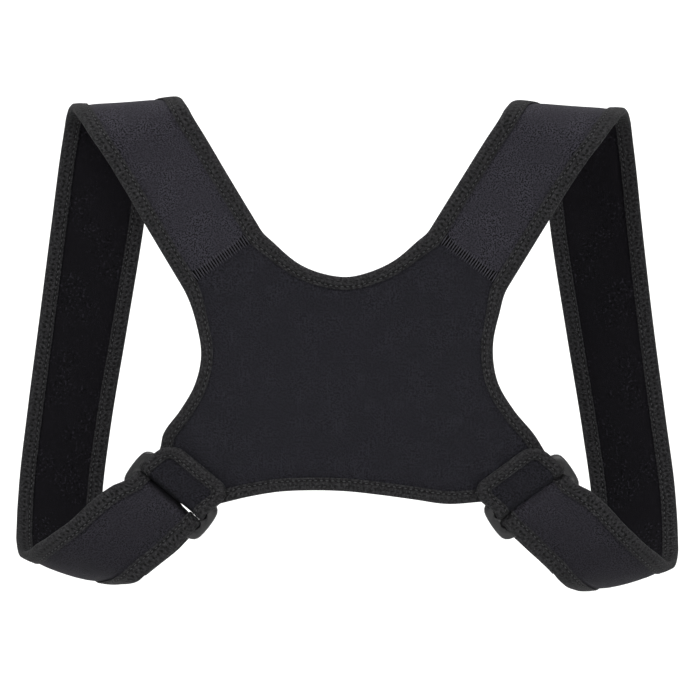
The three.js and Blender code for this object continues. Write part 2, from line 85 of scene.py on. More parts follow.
# Strap routes: out, off, down, slant, toe and taper, a row per section from the panel to the ring
LEFT_ROUTE = [
    (0.362, 0.00, 0.324, 35, 0, 0),
    (0.457, 0.00, 0.214, 31, 0, 0),
    (0.542, 0.00, 0.114, 26, 0, 0),
    (0.600, 0.00, 0.050, 17, 0, 0),
    (0.637, 0.10, 0.013, 8, 0, 0),
    (0.664, 0.25, 0.000, 4, 1, 0),
    (0.688, 0.46, 0.002, 0, 5, 0),
    (0.710, 0.61, 0.028, -2, 11, 0.05),
    (0.730, 0.69, 0.090, -5, 15, 0.1),
    (0.760, 0.72, 0.249, -7, 18, 0.15),
    (0.800, 0.73, 0.457, -8, 18, 0.5),
    (0.840, 0.73, 0.666, -8, 18, 0.85),
    (0.860, 0.69, 0.808, -10, 16, 0.95),
    (0.861, 0.61, 0.885, -12, 12, 1),
    (0.848, 0.46, 0.944, -15, 7, 1),
    (0.816, 0.28, 0.974, -16, 3, 1),
    (0.763, 0.11, 0.962, -20, 0, 1),
    (0.704, 0.01, 0.935, -31, 0, 1),
    (0.642, 0.00, 0.897, -41, 0, 1),
    (0.579, 0.00, 0.860, -41, 0, 1),
    (0.524, 0.00, 0.830, -37.7, 0, 1),
]
RIGHT_ROUTE = [
    (0.345, 0.00, 0.320, 35, 0, 0),
    (0.437, 0.00, 0.211, 31, 0, 0),
    (0.523, 0.00, 0.111, 26, 0, 0),
    (0.581, 0.00, 0.049, 17, 0, 0),
    (0.621, 0.10, 0.012, 7, 0, 0),
    (0.651, 0.25, -0.002, 3, 1, 0),
    (0.680, 0.46, 0.001, -1, 5, 0),
    (0.703, 0.61, 0.028, -3, 11, 0.05),
    (0.722, 0.69, 0.092, -5, 15, 0.1),
    (0.751, 0.72, 0.249, -7, 18, 0.2),
    (0.794, 0.73, 0.457, -8, 18, 0.6),
    (0.841, 0.73, 0.668, -8, 18, 0.9),
    (0.869, 0.69, 0.815, -10, 16, 0.95),
    (0.873, 0.61, 0.896, -12, 12, 1),
    (0.861, 0.46, 0.953, -14, 7, 1),
    (0.829, 0.28, 0.981, -15, 3, 1),
    (0.776, 0.11, 0.965, -19, 0, 1),
    (0.715, 0.01, 0.929, -30, 0, 1),
    (0.662, 0.00, 0.892, -36, 0, 1),
    (0.608, 0.00, 0.856, -37.5, 0, 1),
    (0.556, 0.00, 0.826, -35.6, 0, 1),
]
# Where along a route, in rows, the fold under the arm lies, how far it curls, and its middle and lower edge
FOLD_ROW = 15.2
FOLD_SPREAD = 2.2
FOLD_CURL = 3.6
CURL_MIDDLE = 0.75
CURL_EDGE = 0.55
# The cloth gathers by this much at each edge where it runs through a ring, and straightens before it
GATHER = 1.5
GATHER_RUN = 26
STRAIGHT_RUN = 36
# Shares that the halves of the strap under the arm lose (or gain, below 0), by row, left and right
LOWER_TRIM = {-1: ([14, 16, 17.5, 19, 20], [0, 0.01, -0.04, -0.05, -0.01]),
              1: ([14, 16, 17.5, 19, 20], [0, 0.04, 0.07, 0.05, 0.02])}
UPPER_TRIM = {-1: ([16.5, 18, 19.2, 20], [0, -0.06, -0.08, -0.02]),
              1: ([16.5, 18, 19.2, 20], [0, -0.05, -0.07, -0.02])}
# Where the turned strap swells towards the tab (1) or leaves it a gap (below 0), by its breadth
MEET = {-1: ([-27, -18.5, -16, 6, 10, 17.5, 19, 27], [-0.12, -0.12, 1, 1, 0.1, 0.1, -0.6, -0.7]),
        1: ([-27, -18.5, -16, 16, 18.5, 27], [-0.12, -0.12, 1, 1, -0.12, -0.12])}
# The same for the tab
TAB_MEET = {-1: ([-27, -18.5, -16.5, 6, 10, 17.5, 19, 27], [0, 0, 0.8, 0.8, 0.42, 0.42, 0, 0]),
            1: ([-27, -18.5, -16.5, 16.5, 18.5, 27], [0, 0, 0.8, 0.8, 0, 0])}
# At which angle of their turns strap and tab swell most, how far that is, and how wide a turn it takes
SWELL = {-1: (100, 100, 0.6), 1: (62, 118, 1.9)}
SWELL_EVEN = 0.75
SWELL_SPREAD = math.radians(22)
# How dark the painted shade makes the cloth that turns into the slot between strap and tab
FOLD_SHADE = {-1: 1.0, 1: 0.3}

# Panel edges: out and down
NECKLINE = [
    (-0.214, 0.291), (-0.127, 0.340), (-0.064, 0.356), (0, 0.361), (0.064, 0.350),
    (0.130, 0.327), (0.194, 0.288),
]
HEM = [
    (-0.274, 0.811), (-0.190, 0.800), (-0.100, 0.796), (0, 0.797), (0.100, 0.804),
    (0.196, 0.813), (0.288, 0.822),
]
LEFT_ARMHOLE = [(0.430, 0.464), (0.417, 0.525), (0.436, 0.587), (0.475, 0.636), (0.524, 0.686)]
RIGHT_ARMHOLE = [(0.434, 0.433), (0.417, 0.496), (0.432, 0.573), (0.479, 0.629), (0.541, 0.681)]

# The panel's lower corners: how far from the ring, how far inside the tab; and the seams' room in gaps
CORNER_ROOM = 1.5
CORNER_INSET = 1
SEAM_ROOM = 1.1

SIDES = {"left": -1, "right": 1}
MIRROR = np.array([-1.0, 1.0, 1.0])

# Points of a curve between two rows of a strap's table, and of a panel edge's
ROUTE_POINTS = 24
EDGE_POINTS = 12
# Steps round a bar of strap and tab, and points over a tab's breadth
STRAP_TURNS = 18
TAB_TURNS = 16
TAB_COLUMNS = 33
# Points along the panel's top and bottom, at each end of them, and down its sides
PANEL_ALONG = 101
PANEL_ENDS = 16
PANEL_DOWN = 81

# Stitches lie this far inside the tape's border and stand out by this much
SUNK = 1.9
STITCH_LIFT = 0.1
# Tape: rounding at its edge, belly, the furrow under its stitches and the lip at its border
EDGE_ROUND = 1.9
BELLY = 0.10
FURROW, FURROW_HALF = 0.34, 0.75
LIP, LIP_RUN = 0.28, 0.8
# Cloth: how much thinner it is cut, the padding's run inwards, and the groove beside the tape
THINNER = 0.15
PAD_RUN = 7.0
GROOVE, GROOVE_AT, GROOVE_HALF = 0.22, 0.3, 1.0
# A stitch is this many times as broad as it is high
THREAD_FLAT = 1.25
# Flat seams: points along them, threads, and the bed below with its section's points and squareness
SEAM_POINTS = 60
SEAM_LIFT = 0.42
SEAM_THREAD = 0.78
SEAM_HEIGHT = 0.9
BED_LIFT = 0.27
BED_POINTS = 16
BED_SQUARE = 0.35

# Rings: the window's room beside the strap, how far the ends are drawn in, and the share of the bulge;
# points round, how square rim and window are, the bevel, and the noses at the window's ends
SLOT_ROOM = 0.12
DRAWN_IN = 0.6
BULGE_SHARE = 0.75
RING_STEPS = 96
RIM_SQUARE = 7.0
WINDOW_SQUARE = 14.0
RING_BEVEL = 1.3
NOSE = 2.4
NOSE_HALF = 3.6

# Studio: the floor's radius and height in metres, and each light's place, aim, size and power
FLOOR = [(0.001, 0), (1.0, 0), (2.0, 0), (2.5, 0.0), (2.8, 0.06), (3.05, 0.22), (3.2, 0.48), (3.3, 1.0),
         (3.35, 2.2)]
LIGHTS = (
    ("Key", (-0.85, -1.35, 1.6), (0, 0, -0.12), 1.1, 56),
    ("Fill", (1.3, -1.4, 0.7), (0, 0, -0.15), 1.2, 16),
    ("Top", (0.1, 0.1, 1.5), (0, 0, -0.1), 1.0, 20),
)
WORLD_LIGHT = 1.05
# The camera's place before it steps back by its distance
EYE = (0.0018, -0.045, -0.1529)


# Properties
def length(name, default, description):
    return bpy.props.FloatProperty(name=name, default=default, description=description, unit="LENGTH")


def colour_value(name, default, description):
    return bpy.props.FloatVectorProperty(
        name=name, default=default, description=description, subtype="COLOR", size=3, min=0, max=1)


class CorrectorSizes(bpy.types.PropertyGroup):
    section_step: length("Section step", 2.0 * MM, "Distance between two sections of the cloth")
    stitch_pitch: length("Stitch pitch", 3.4 * MM, "Distance from one stitch of the edge tape to the next")
    stitch_length: length("Stitch length", 2.1 * MM, "Length of one stitch")
    thread: length("Thread", 0.55 * MM, "Thickness of the sewing thread")
    seam_pitch: length("Seam pitch", 1.75 * MM, "Distance between the threads of the flat seams")
    seam_breadth: length("Seam breadth", 8.2 * MM, "Breadth of the flat seams")
    pad_rise: length("Padding rise", 0.35 * MM, "How far the padding stands over the tape's border")


class CorrectorColours(bpy.types.PropertyGroup):
    panel: colour_value("Panel", (0.0067, 0.0066, 0.0083), "Knit of the back panel")
    strap: colour_value("Strap", (0.0118, 0.0112, 0.0141), "Smooth outside of the straps")
    lining: colour_value("Lining", (0.0030, 0.0028, 0.0035), "Brushed loop cloth inside the straps")
    tape: colour_value("Edge tape", (0.0097, 0.0096, 0.0101), "Elastic tape on every edge")
    thread: colour_value("Thread", (0.0180, 0.0180, 0.0188), "Sewing thread")
    plastic: colour_value("Plastic", (0.0060, 0.0060, 0.0063), "Moulded rings")
    floor: colour_value("Floor", (0.93, 0.93, 0.93), "Studio floor")


class CorrectorStudio(bpy.types.PropertyGroup):
    lens: bpy.props.FloatProperty(
        name="Lens", description="Focal length in millimetres", default=126.7)
    distance: length("Camera distance", 1.5, "From the camera to the back panel")
    roll: bpy.props.FloatProperty(
        name="Camera roll", description="Turn of the camera round its own axis",
        default=math.radians(0.6), subtype="ANGLE")
    floor_drop: length("Floor", 0.62, "Depth of the floor below the shoulders")


def sizes():
    return bpy.context.scene.corrector_sizes


def colours():
    return bpy.context.scene.corrector_colours


# Curves and frames
def unit(v):
    v = np.asarray(v, float)
    return v / np.linalg.norm(v, axis=-1, keepdims=True)


def wing_y(x):
    """Depth of the back at a place from side to side: bowed in the middle, then straight wings."""
    out = np.abs(x)
    bow = np.minimum(out, FLAT_FROM)
    return -BACK + WING_SLOPE * bow * bow / (2 * FLAT_FROM) + WING_SLOPE * (out - bow)


def wing_normal(x):
    """Direction out of the back."""
    slope = WING_SLOPE * np.minimum(np.abs(x), FLAT_FROM) / FLAT_FROM * np.sign(x)
    return unit(np.stack([slope, -np.ones_like(slope), np.zeros_like(slope)], -1))


def mirrored(points, side):
    """Tables and paths are drawn in the left side's place; the right side is turned over."""
    return points * MIRROR if side > 0 else points


def curve(rows, size, steps, start=None, end=None):
    """A smooth curve through rows, spaced by the distance between their first numbers."""
    rows = np.asarray(rows, float)
    chord = np.linalg.norm(np.diff(rows[:, :size], axis=0), axis=1)
    slope = np.zeros_like(rows)
    for i in range(len(rows)):
        if i == 0:
            slope[i] = (rows[1] - rows[0]) / chord[0] if start is None else start
        elif i == len(rows) - 1:
            slope[i] = (rows[-1] - rows[-2]) / chord[-1] if end is None else end
        else:
            before = (rows[i] - rows[i - 1]) / chord[i - 1]
            after = (rows[i + 1] - rows[i]) / chord[i]
            slope[i] = (before * chord[i] + after * chord[i - 1]) / (chord[i] + chord[i - 1])
    points = []
    for i in range(len(rows) - 1):
        for j in range(steps):
            t = j / steps
            a = 2 * t**3 - 3 * t**2 + 1
            points.append(a * rows[i] + (t**3 - 2 * t**2 + t) * chord[i] * slope[i]
                          + (1 - a) * rows[i + 1] + (t**3 - t**2) * chord[i] * slope[i + 1])
    points.append(rows[-1])
    return np.array(points)


def run_along(points):
    """Distance along a line from its first point to each one."""
    return np.r_[0, np.cumsum(np.linalg.norm(np.diff(points, axis=0), axis=1))]


def spread(points, count, size=2):
    """The same curve with a number of points at even distances."""
    run = run_along(points[:, :size])
    want = np.linspace(0, run[-1], count)
    return np.stack([np.interp(want, run, column) for column in points.T], 1)


def even(points, size, step):
    """The same curve with points about a step apart."""
    return spread(points, max(int(round(run_along(points[:, :size])[-1] / step)), 2) + 1, size)


def bearings(slant, toe):
    """Directions across the strap from its slant on the back and its toe into the depth."""
    slant, turn = np.radians(slant), np.radians(toe) - WING_TURN
    return np.stack([np.cos(slant) * np.cos(turn), np.cos(slant) * np.sin(turn), np.sin(slant)], -1)


def route(rows, step):
    """Even sections of a strap, in the left side's place, as a dictionary of arrays."""
    table = []
    for k, (out, off, down, slant, toe, taper) in enumerate(rows):
        x = -out * SPAN / 2
        lift = taper * LEG * math.hypot(1, WING_SLOPE)
        table.append((x, float(wing_y(x)) + off * DEPTH - lift, -down * DROP, slant, toe, taper, k))
    table = np.array(table, float)
    across = bearings(table[-1, 3], 0.0)
    flat = np.array([-math.sin(WING_TURN), -math.cos(WING_TURN), 0])
    end = -np.cross(across, flat)
    if end[2] < 0:
        end = -end
    chord = np.linalg.norm(table[-1, :3] - table[-2, :3])
    pull = end * math.cos(PULL) + across * math.sin(PULL)
    slope = np.r_[pull, (table[-1, 3] - table[-2, 3]) / chord, 0, 0, 1 / chord]
    points = even(curve(table, 3, ROUTE_POINTS, None, slope), 3, step)
    place = points[:, :3]
    tangent = unit(np.gradient(place, axis=0))
    tangent[-1] = end
    across = bearings(points[:, 3], points[:, 4])
    normal = np.cross(across, tangent)
    skew = 1 / np.linalg.norm(normal, axis=1)
    left = np.linalg.norm(place - place[-1], axis=1)
    skew = 1 + (skew - 1) * smoothstep(left / STRAIGHT_RUN)
    taper = np.clip(points[:, 5], 0, 1)
    half = (SHOULDER_WIDTH + (STRAP_WIDTH - SHOULDER_WIDTH) * taper) / 2
    half = half - GATHER * (1 - smoothstep(left / GATHER_RUN))
    curl = FOLD_CURL * np.exp(-(((points[:, 6] - FOLD_ROW) / FOLD_SPREAD) ** 2))
    return {"place": place, "tangent": tangent, "across": across, "normal": unit(normal),
            "skew": skew, "half": half, "curl": curl,
            "turn": np.zeros(len(half)), "row": points[:, 6]}


def wrap(s):
    """Adds the turn round the ring's outer bar and the length fastened back inside."""
    end = {k: v[-1] for k, v in s.items()}
    centre = end["place"] - end["normal"] * LEG
    out = {k: [v] for k, v in s.items()}
    for a in math.pi * np.arange(1, STRAP_TURNS + 1) / STRAP_TURNS:
        normal = end["normal"] * math.cos(a) + end["tangent"] * math.sin(a)
        tangent = end["tangent"] * math.cos(a) - end["normal"] * math.sin(a)
        for k in out:
            value = {"place": centre + normal * LEG, "normal": normal, "tangent": tangent,
                     "turn": a}.get(k, end[k])
            out[k].append(np.array(value)[None])
    run, i = 0.0, len(s["place"]) - 2
    bar = (RING_REACH - WINDOW) / 2 + LEG
    while i >= 0 and run < RETURN:
        run += np.linalg.norm(s["place"][i] - s["place"][i + 1])
        apart = LEG * (2 - CLOSED * float(smoothstep((run - bar) / (CLOSING * LEG))))
        for k in out:
            value = {"place": s["place"][i] - s["normal"][i] * apart, "normal": -s["normal"][i],
                     "tangent": -s["tangent"][i], "curl": -s["curl"][i]}.get(k, s[k][i])
            out[k].append(np.array(value)[None])
        i -= 1
    return {k: np.concatenate([np.atleast_1d(x) for x in v]) for k, v in out.items()}


def swell(turn, peak, height):
    """How far cloth turned round a bar stands out at an angle of its turn."""
    near = np.exp(-(((turn - math.radians(peak)) / SWELL_SPREAD) ** 2))
    return SWELL_EVEN * np.sin(turn) + height * near


def on_strap(s, a, rise):
    """Points at a breadth a and a height over the strap's middle surface, for every section."""
    share = a / s["half"]
    trim = LOWER_TRIM if np.mean(a) > 0 else UPPER_TRIM
    a = a * (1 - np.interp(s["row"], *trim[s["side"]]))
    lift = rise + s["curl"] * (CURL_MIDDLE * (1 - share ** 2) - CURL_EDGE * np.clip(share, 0, 1) ** 2)
    points = s["place"] + s["across"] * (a * s["skew"])[:, None] + s["normal"] * lift[:, None]
    meet = np.interp(a, *MEET[s["side"]])
    peak, _, height = SWELL[s["side"]]
    out = meet * np.where(meet > 0, swell(s["turn"], peak, height), np.sin(s["turn"])) * (s["turn"] > 0)
    return points + np.multiply.outer(out, s["pull"])


def ring_frame(s):
    """The ring's middle and its directions along the pull, across it and outwards."""
    return {"centre": s["place"][-1] - s["normal"][-1] * LEG + s["tangent"][-1] * TAB_START,
            "t": s["tangent"][-1], "a": s["across"][-1], "n": s["normal"][-1]}


def spot(f, along, across, rise):
    """Points in a ring's frame."""
    return (f["centre"] + np.multiply.outer(along, f["t"]) + np.multiply.outer(across, f["a"])
            + np.multiply.outer(rise, f["n"]))


def lean(along):
    """The tab and the panel's corner in it lean sideways with the strap's pull."""
    return np.maximum(np.asarray(along) - TAB_START, 0) * math.tan(PULL)


def plan():
    """Every path that the pieces share."""
    step = sizes().section_step / MM
    made = {}
    for word, rows, hole in (("left", LEFT_ROUTE, LEFT_ARMHOLE), ("right", RIGHT_ROUTE, RIGHT_ARMHOLE)):
        side = SIDES[word]
        s = route(rows, step)
        f = ring_frame(s)
        first = {k: v[0] for k, v in s.items()}

        def seam(edge):
            return (first["place"] + first["across"] * edge * first["half"] * first["skew"]
                    - first["tangent"] * GAP * first["skew"] * SEAM_ROOM)

        corner = RING_REACH / 2 + CORNER_ROOM
        made[word] = {
            "side": side, "sections": s, "wrapped": wrap(s), "ring": f,
            "seam_outer": seam(-1), "seam_inner": seam(1), "hole": hole,
            "corner_up": spot(f, corner, lean(corner) - TAB_WIDTH / 2 + CORNER_INSET, 0.0),
            "corner_low": spot(f, corner, lean(corner) + TAB_WIDTH / 2 - CORNER_INSET, 0.0),
        }
        made[word]["wrapped"].update(side=side, pull=f["t"])

    def flat(point, side):
        return np.array([-point[0] if side > 0 else point[0], point[2]])

    def edge_slope(s, edge, side):
        at = [s["place"][k] + s["across"][k] * edge * s["half"][k] * s["skew"][k] for k in (0, 1)]
        return flat(unit(at[0] - at[1]), side)

    left, right = made["left"], made["right"]
    scale = np.array([SPAN / 2, -DROP])

    def border(path, sign, seams, start=None, end=None):
        return panel_frames(even(curve(path, 2, EDGE_POINTS, start, end), 2, step), sign, seams)

    made["neck"] = border(
        [flat(left["seam_inner"], -1), *(np.array(NECKLINE) * scale), flat(right["seam_inner"], 1)], -1, 2,
        edge_slope(left["sections"], 1, -1), -edge_slope(right["sections"], 1, 1))
    made["hem"] = border(
        [flat(left["corner_low"], -1), *(np.array(HEM) * scale), flat(right["corner_low"], 1)], 1, 0)
    for entry in (left, right):
        side = entry["side"]
        hole = np.array(entry["hole"]) * scale * np.array([side, 1])
        entry["arm"] = border(
            [flat(entry["seam_outer"], side), *hole, flat(entry["corner_up"], side)], -side, 1,
            edge_slope(entry["sections"], -1, side), -flat(entry["ring"]["t"], side))
    return made


def panel_frames(points, sign, seams):
    """Edge points on the panel, directions inwards and outwards, and the tape's breadth.

    The tape narrows from the strap's breadth to the panel's near each of its seams: two, one or none.
    """
    edge = np.stack([points[:, 0], wing_y(points[:, 0]), points[:, 1]], 1)
    normal = wing_normal(edge[:, 0])
    share = np.linspace(0, 1, len(edge))
    near = (np.ones_like(share), share, np.minimum(share, 1 - share))[seams]
    return {"edge": edge, "inward": unit(np.cross(normal, unit(np.gradient(edge, axis=0)))) * sign,
            "normal": normal, "bands": STRAP_BAND + (PANEL_BAND - STRAP_BAND) * smoothstep(near * 4)}


# Meshes
def placed(name, data):
    """A new object in the scene."""
    obj = bpy.data.objects.new(name, data)
    bpy.context.scene.collection.objects.link(obj)
    return obj


def mark(obj, name, values):
    """Stores a value at each point, for the material."""
    attribute = obj.data.attributes.new(name, "FLOAT", "POINT")
    attribute.data.foreach_set("value", np.asarray(values, np.float32))


def new_object(name, points, faces, materials, uvs=None, slots=None):
    """Points in millimetres, faces as lists of point numbers, uvs a pair in metres per corner."""
    mesh = bpy.data.meshes.new(name)
    mesh.from_pydata([tuple(p) for p in np.asarray(points) * MM], [], [tuple(map(int, f)) for f in faces])
    for m in materials:
        mesh.materials.append(m)
    if slots is not None:
        mesh.polygons.foreach_set("material_index", np.asarray(slots, np.int32))
    mesh.polygons.foreach_set("use_smooth", np.full(len(mesh.polygons), True))
    if uvs is not None:
        layer = mesh.uv_layers.new(name="Cloth")
        layer.data.foreach_set("uv", np.asarray(uvs, np.float32).ravel())
    mesh.validate()
    mesh.update()
    obj = placed(name, mesh)
    outward(obj)
    return obj


def outward(obj):
    """Turns a closed mesh whose faces point inwards."""
    mesh = obj.data
    mesh.calc_loop_triangles()
    co = np.zeros(len(mesh.vertices) * 3)
    mesh.vertices.foreach_get("co", co)
    co = co.reshape(-1, 3)
    tri = np.zeros(len(mesh.loop_triangles) * 3, np.int32)
    mesh.loop_triangles.foreach_get("vertices", tri)
    a, b, c = (co[tri.reshape(-1, 3)[:, k]] for k in range(3))
    if np.einsum("ij,ij->i", a, np.cross(b, c)).sum() < 0:
        mesh.flip_normals()


def grid_faces(rows, count):
    """Quads between rings of points."""
    faces = []
    for i in range(rows - 1):
        for j in range(count):
            a = i * count + j
            b = i * count + (j + 1) % count
            faces.append((a, b, b + count, a + count))
    return faces


def loft(name, rings, run, around, materials, slots=None):
    """A closed tube of rings, with a map of the run along it and the distance round its profile."""
    rows, count = rings.shape[:2]
    points = rings.reshape(-1, 3)
    faces = grid_faces(rows, count)
    uvs = []
    for i in range(rows - 1):
        for j in range(count):
            v0 = around[j]
            v1 = around[j + 1] if j + 1 < len(around) else around[-1]
            uvs += [(run[i], v0), (run[i], v1), (run[i + 1], v1), (run[i + 1], v0)]
    numbers = list(range(count))
    faces.append(tuple(reversed(numbers)))
    uvs += [(run[0], around[j]) for j in reversed(numbers)]
    faces.append(tuple((rows - 1) * count + j for j in numbers))
    uvs += [(run[-1], around[j]) for j in numbers]
    pick = None
    if slots is not None:
        pick = [slots[j] for _ in range(rows - 1) for j in range(count)] + [slots[0]] * 2
    return new_object(name, points, faces, materials, np.array(uvs) * MM, pick)


def smoothstep(t):
    t = np.clip(t, 0, 1)
    return t * t * (3 - 2 * t)


def finish_piece(obj, slot, *nodes):
    """Says where a piece rides and hides the solids that it stands for."""
    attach(obj, "root")
    if nodes:
        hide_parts(*nodes)
    return obj


# Materials
def feed(tree, socket, value):
    """Sets a socket's value, or links it where the value is another socket."""
    if isinstance(value, bpy.types.NodeSocket):
        tree.links.new(value, socket)
    else:
        socket.default_value = value


def add_node(tree, kind, values=None, **settings):
    """Adds a node with its settings and the values of its inputs."""
    node = tree.nodes.new(kind)
    for key, value in settings.items():
        setattr(node, key, value)
    for key, value in (values or {}).items():
        feed(tree, node.inputs[key], value)
    return node


class Nodes:
    """Small helper that builds a material's nodes."""

    def __init__(self, name):
        self.material = bpy.data.materials.new(name)
        self.material.use_nodes = True
        self.tree = self.material.node_tree

    def add(self, kind, values=None, **settings):
        return add_node(self.tree, kind, values, **settings)

    def finish(self, values):
        """Sets the shader's inputs and gives the material back."""
        for key, value in values.items():
            feed(self.tree, self.tree.nodes["Principled BSDF"].inputs[key], value)
        return self.material

    def math(self, operation, a, b=0.0, clamp=False):
        return self.add("ShaderNodeMath", {0: a, 1: b}, operation=operation, use_clamp=clamp).outputs[0]

    def times(self, product, *factors):
        for factor in factors:
            product = self.math("MULTIPLY", product, factor)
        return product

    def mix(self, factor, a, b):
        """Mixes two colours, each a socket or a tuple of three."""
        a, b = ((*v, 1.0) if isinstance(v, tuple) else v for v in (a, b))
        return self.add("ShaderNodeMix", {0: factor, 6: a, 7: b}, data_type="RGBA").outputs[2]

    def ramp(self, factor, low, high):
        return self.add("ShaderNodeMapRange", {"Value": factor, "From Min": low, "From Max": high},
                        interpolation_type="SMOOTHSTEP").outputs["Result"]

    def place(self, scale=(1, 1, 1), turn=0.0, cloth=True):
        """The cloth's own map in metres, or the place in space."""
        source = (self.add("ShaderNodeUVMap", uv_map="Cloth").outputs["UV"] if cloth
                  else self.add("ShaderNodeTexCoord").outputs["Object"])
        return self.add("ShaderNodeMapping", {
            "Vector": source, "Scale": scale, "Rotation": (0, 0, turn)}).outputs["Vector"]

    def noise(self, vector, scale, detail=2.0, rough=0.5):
        return self.add("ShaderNodeTexNoise", {
            "Vector": vector, "Scale": scale, "Detail": detail, "Roughness": rough}).outputs["Fac"]

    def wave(self, vector, scale, distort=0.0, direction="X"):
        return self.add("ShaderNodeTexWave", {
            "Vector": vector, "Scale": scale, "Distortion": distort, "Detail": 1.0,
            "Detail Scale": 2.0}, bands_direction=direction).outputs["Fac"]

    def bump(self, height, distance, strength):
        return self.add("ShaderNodeBump", {
            "Height": height, "Distance": distance, "Strength": strength}).outputs["Normal"]


def shade(colour, factor):
    """A colour made darker or lighter."""
    return tuple(min(c * factor, 1.0) for c in colour)


def knit(name, colour, loops, sheen, rough, grain, depth, wales=0.0, low=1.0):
    """Fine knit: a grain of small loops, faint lighter wales and slow shifts of tone, with painted shade in
    folds and under the arms.
    """
    n = Nodes(name)
    uv = n.place()
    rows = n.times(n.wave(uv, 0.5 / loops, 0.6, "X"), n.wave(uv, 0.4 / loops, 0.9, "Y"))
    fine = n.ramp(n.noise(uv, 1 / grain, 1.0), 0.40, 0.60)
    speck = n.ramp(n.noise(uv, 1.2 / grain, 0.0), 0.62, 0.76)
    slow = n.noise(uv, 22.0)
    patch = n.ramp(n.noise(uv, 60.0), 0.38, 0.62)
    amount = n.math("ADD", n.times(patch, 0.5), 0.5)
    tone = n.math("ADD", n.times(n.math("SUBTRACT", fine, 0.5), amount), 0.5)
    base = n.mix(tone, shade(colour, 1 - depth), shade(colour, 1 + depth))
    base = n.mix(n.times(rows, 0.2), base, shade(colour, 1 + depth))
    base = n.mix(n.times(speck, patch, depth * 0.8), base, shade(colour, 2.6))
    if wales:
        lines = n.ramp(n.noise(n.place((1, 0.08, 1)), 1.1 / grain, 2.0, 0.6), 0.54, 0.68)
        base = n.mix(n.times(lines, patch, wales), base, shade(colour, 1.9))
    base = n.mix(n.times(slow, 0.3), base, shade(colour, 0.85))
    # Painted shade: cloth that turns down into the slot between strap and tab is darkened towards black
    painted_fold_shade = n.add("ShaderNodeAttribute", attribute_name="painted_fold_shade").outputs["Fac"]
    base = n.mix(n.times(painted_fold_shade, 0.9), base, (0.0, 0.0, 0.0))
    if low < 1:
        # Painted shade: the part under the arms is darkened, more so lower down
        height = n.add("ShaderNodeSeparateXYZ", {0: n.place(cloth=False)}).outputs[2]
        under = n.math("SUBTRACT", 1.0, n.ramp(height, -0.29, -0.20))
        base = n.mix(n.times(under, 1 - low), base, (0.0, 0.0, 0.0))
    return n.finish({
        "Base Color": base, "Roughness": n.math("ADD", n.times(fine, 0.18), rough - 0.09, clamp=True),
        "Sheen Weight": sheen, "Sheen Roughness": 0.45, "Sheen Tint": (0.88, 0.88, 1.0, 1.0),
        "Specular IOR Level": 0.04,
        "Normal": n.bump(n.math("ADD", n.times(rows, 0.5), fine), 0.00022, 0.85)})


def brushed(name, colour):
    """Brushed loop cloth: dark matted fibres with lint and a few stray light ones."""
    n = Nodes(name)
    uv = n.place()
    fuzz = n.noise(uv, 1500, 4.0, 0.7)
    patch = n.noise(uv, 90, 3.0, 0.6)
    strands = n.noise(n.place((1, 4.5, 1), 0.6), 420, 3.0, 0.6)
    drift = n.ramp(n.noise(uv, 45), 0.42, 0.62)
    lint = n.times(n.ramp(n.noise(uv, 620, 1.0, 0.4), 0.58, 0.70), drift)
    pits = n.times(n.ramp(n.noise(uv, 540, 1.0, 0.4), 0.56, 0.64), drift)
    base = n.mix(fuzz, shade(colour, 0.55), shade(colour, 1.7))
    for mask, amount, tone in ((patch, 0.5, 0.8), (n.ramp(strands, 0.62, 0.78), 0.35, 3.2),
                               (pits, 0.8, 0.25), (lint, 0.5, 7.0)):
        base = n.mix(n.times(mask, amount), base, shade(colour, tone))
    return n.finish({
        "Base Color": base, "Roughness": 0.95, "Sheen Weight": 0.004, "Sheen Roughness": 0.6,
        "Specular IOR Level": 0.03,
        "Normal": n.bump(n.math("ADD", fuzz, n.times(patch, 0.5)), 0.0004, 0.9)})


def band_mask(n, value, at, breadth):
    """1 where a value lies near at, falling to 0 over the breadth."""
    off = n.math("ABSOLUTE", n.math("SUBTRACT", value, at))
    return n.math("SUBTRACT", 1.0, n.ramp(off, 0.0, breadth))


def ribbed(name, colour):
    """Elastic edge tape: short crosswise ribs broken up by speckled yarn, with painted shade in its stitch
    furrow and needle holes.
    """
    n = Nodes(name)
    uv = n.place()
    ribs = n.wave(uv, 430, 1.6)
    yarn = n.ramp(n.noise(n.place((1, 0.8, 1)), 680, 1.5, 0.6), 0.36, 0.64)
    speck = n.ramp(n.noise(uv, 640, 2.0, 0.6), 0.58, 0.70)
    # Painted shade: the furrow that the stitches pull into the tape, and a row of needle holes beside it,
    # are painted near-black
    along = n.add("ShaderNodeSeparateXYZ", {0: uv}).outputs[0]
    border = n.add("ShaderNodeAttribute", attribute_name="border").outputs["Fac"]
    beat = n.math("SINE", n.times(along, 2 * math.pi / sizes().stitch_pitch))
    painted_needle_hole_shade = n.times(band_mask(n, border, 0.0055, 0.0015), n.ramp(beat, -0.1, 0.7))
    hole = n.math("MAXIMUM", n.times(band_mask(n, border, 0.0020, 0.0012), 0.9), painted_needle_hole_shade)
    base = n.mix(yarn, shade(colour, 0.25), shade(colour, 1.7))
    for mask, amount, tone in ((ribs, 0.35, 1.4), (speck, 0.6, 3.6), (hole, 0.95, 0.05)):
        base = n.mix(n.times(mask, amount), base, shade(colour, tone))
    return n.finish({
        "Base Color": base, "Roughness": n.math("ADD", n.times(yarn, 0.2), 0.68, clamp=True),
        "Sheen Weight": 0.008, "Sheen Roughness": 0.5, "Specular IOR Level": 0.05,
        "Normal": n.bump(n.math("ADD", n.times(ribs, 0.45), yarn), 0.0004, 0.9)})


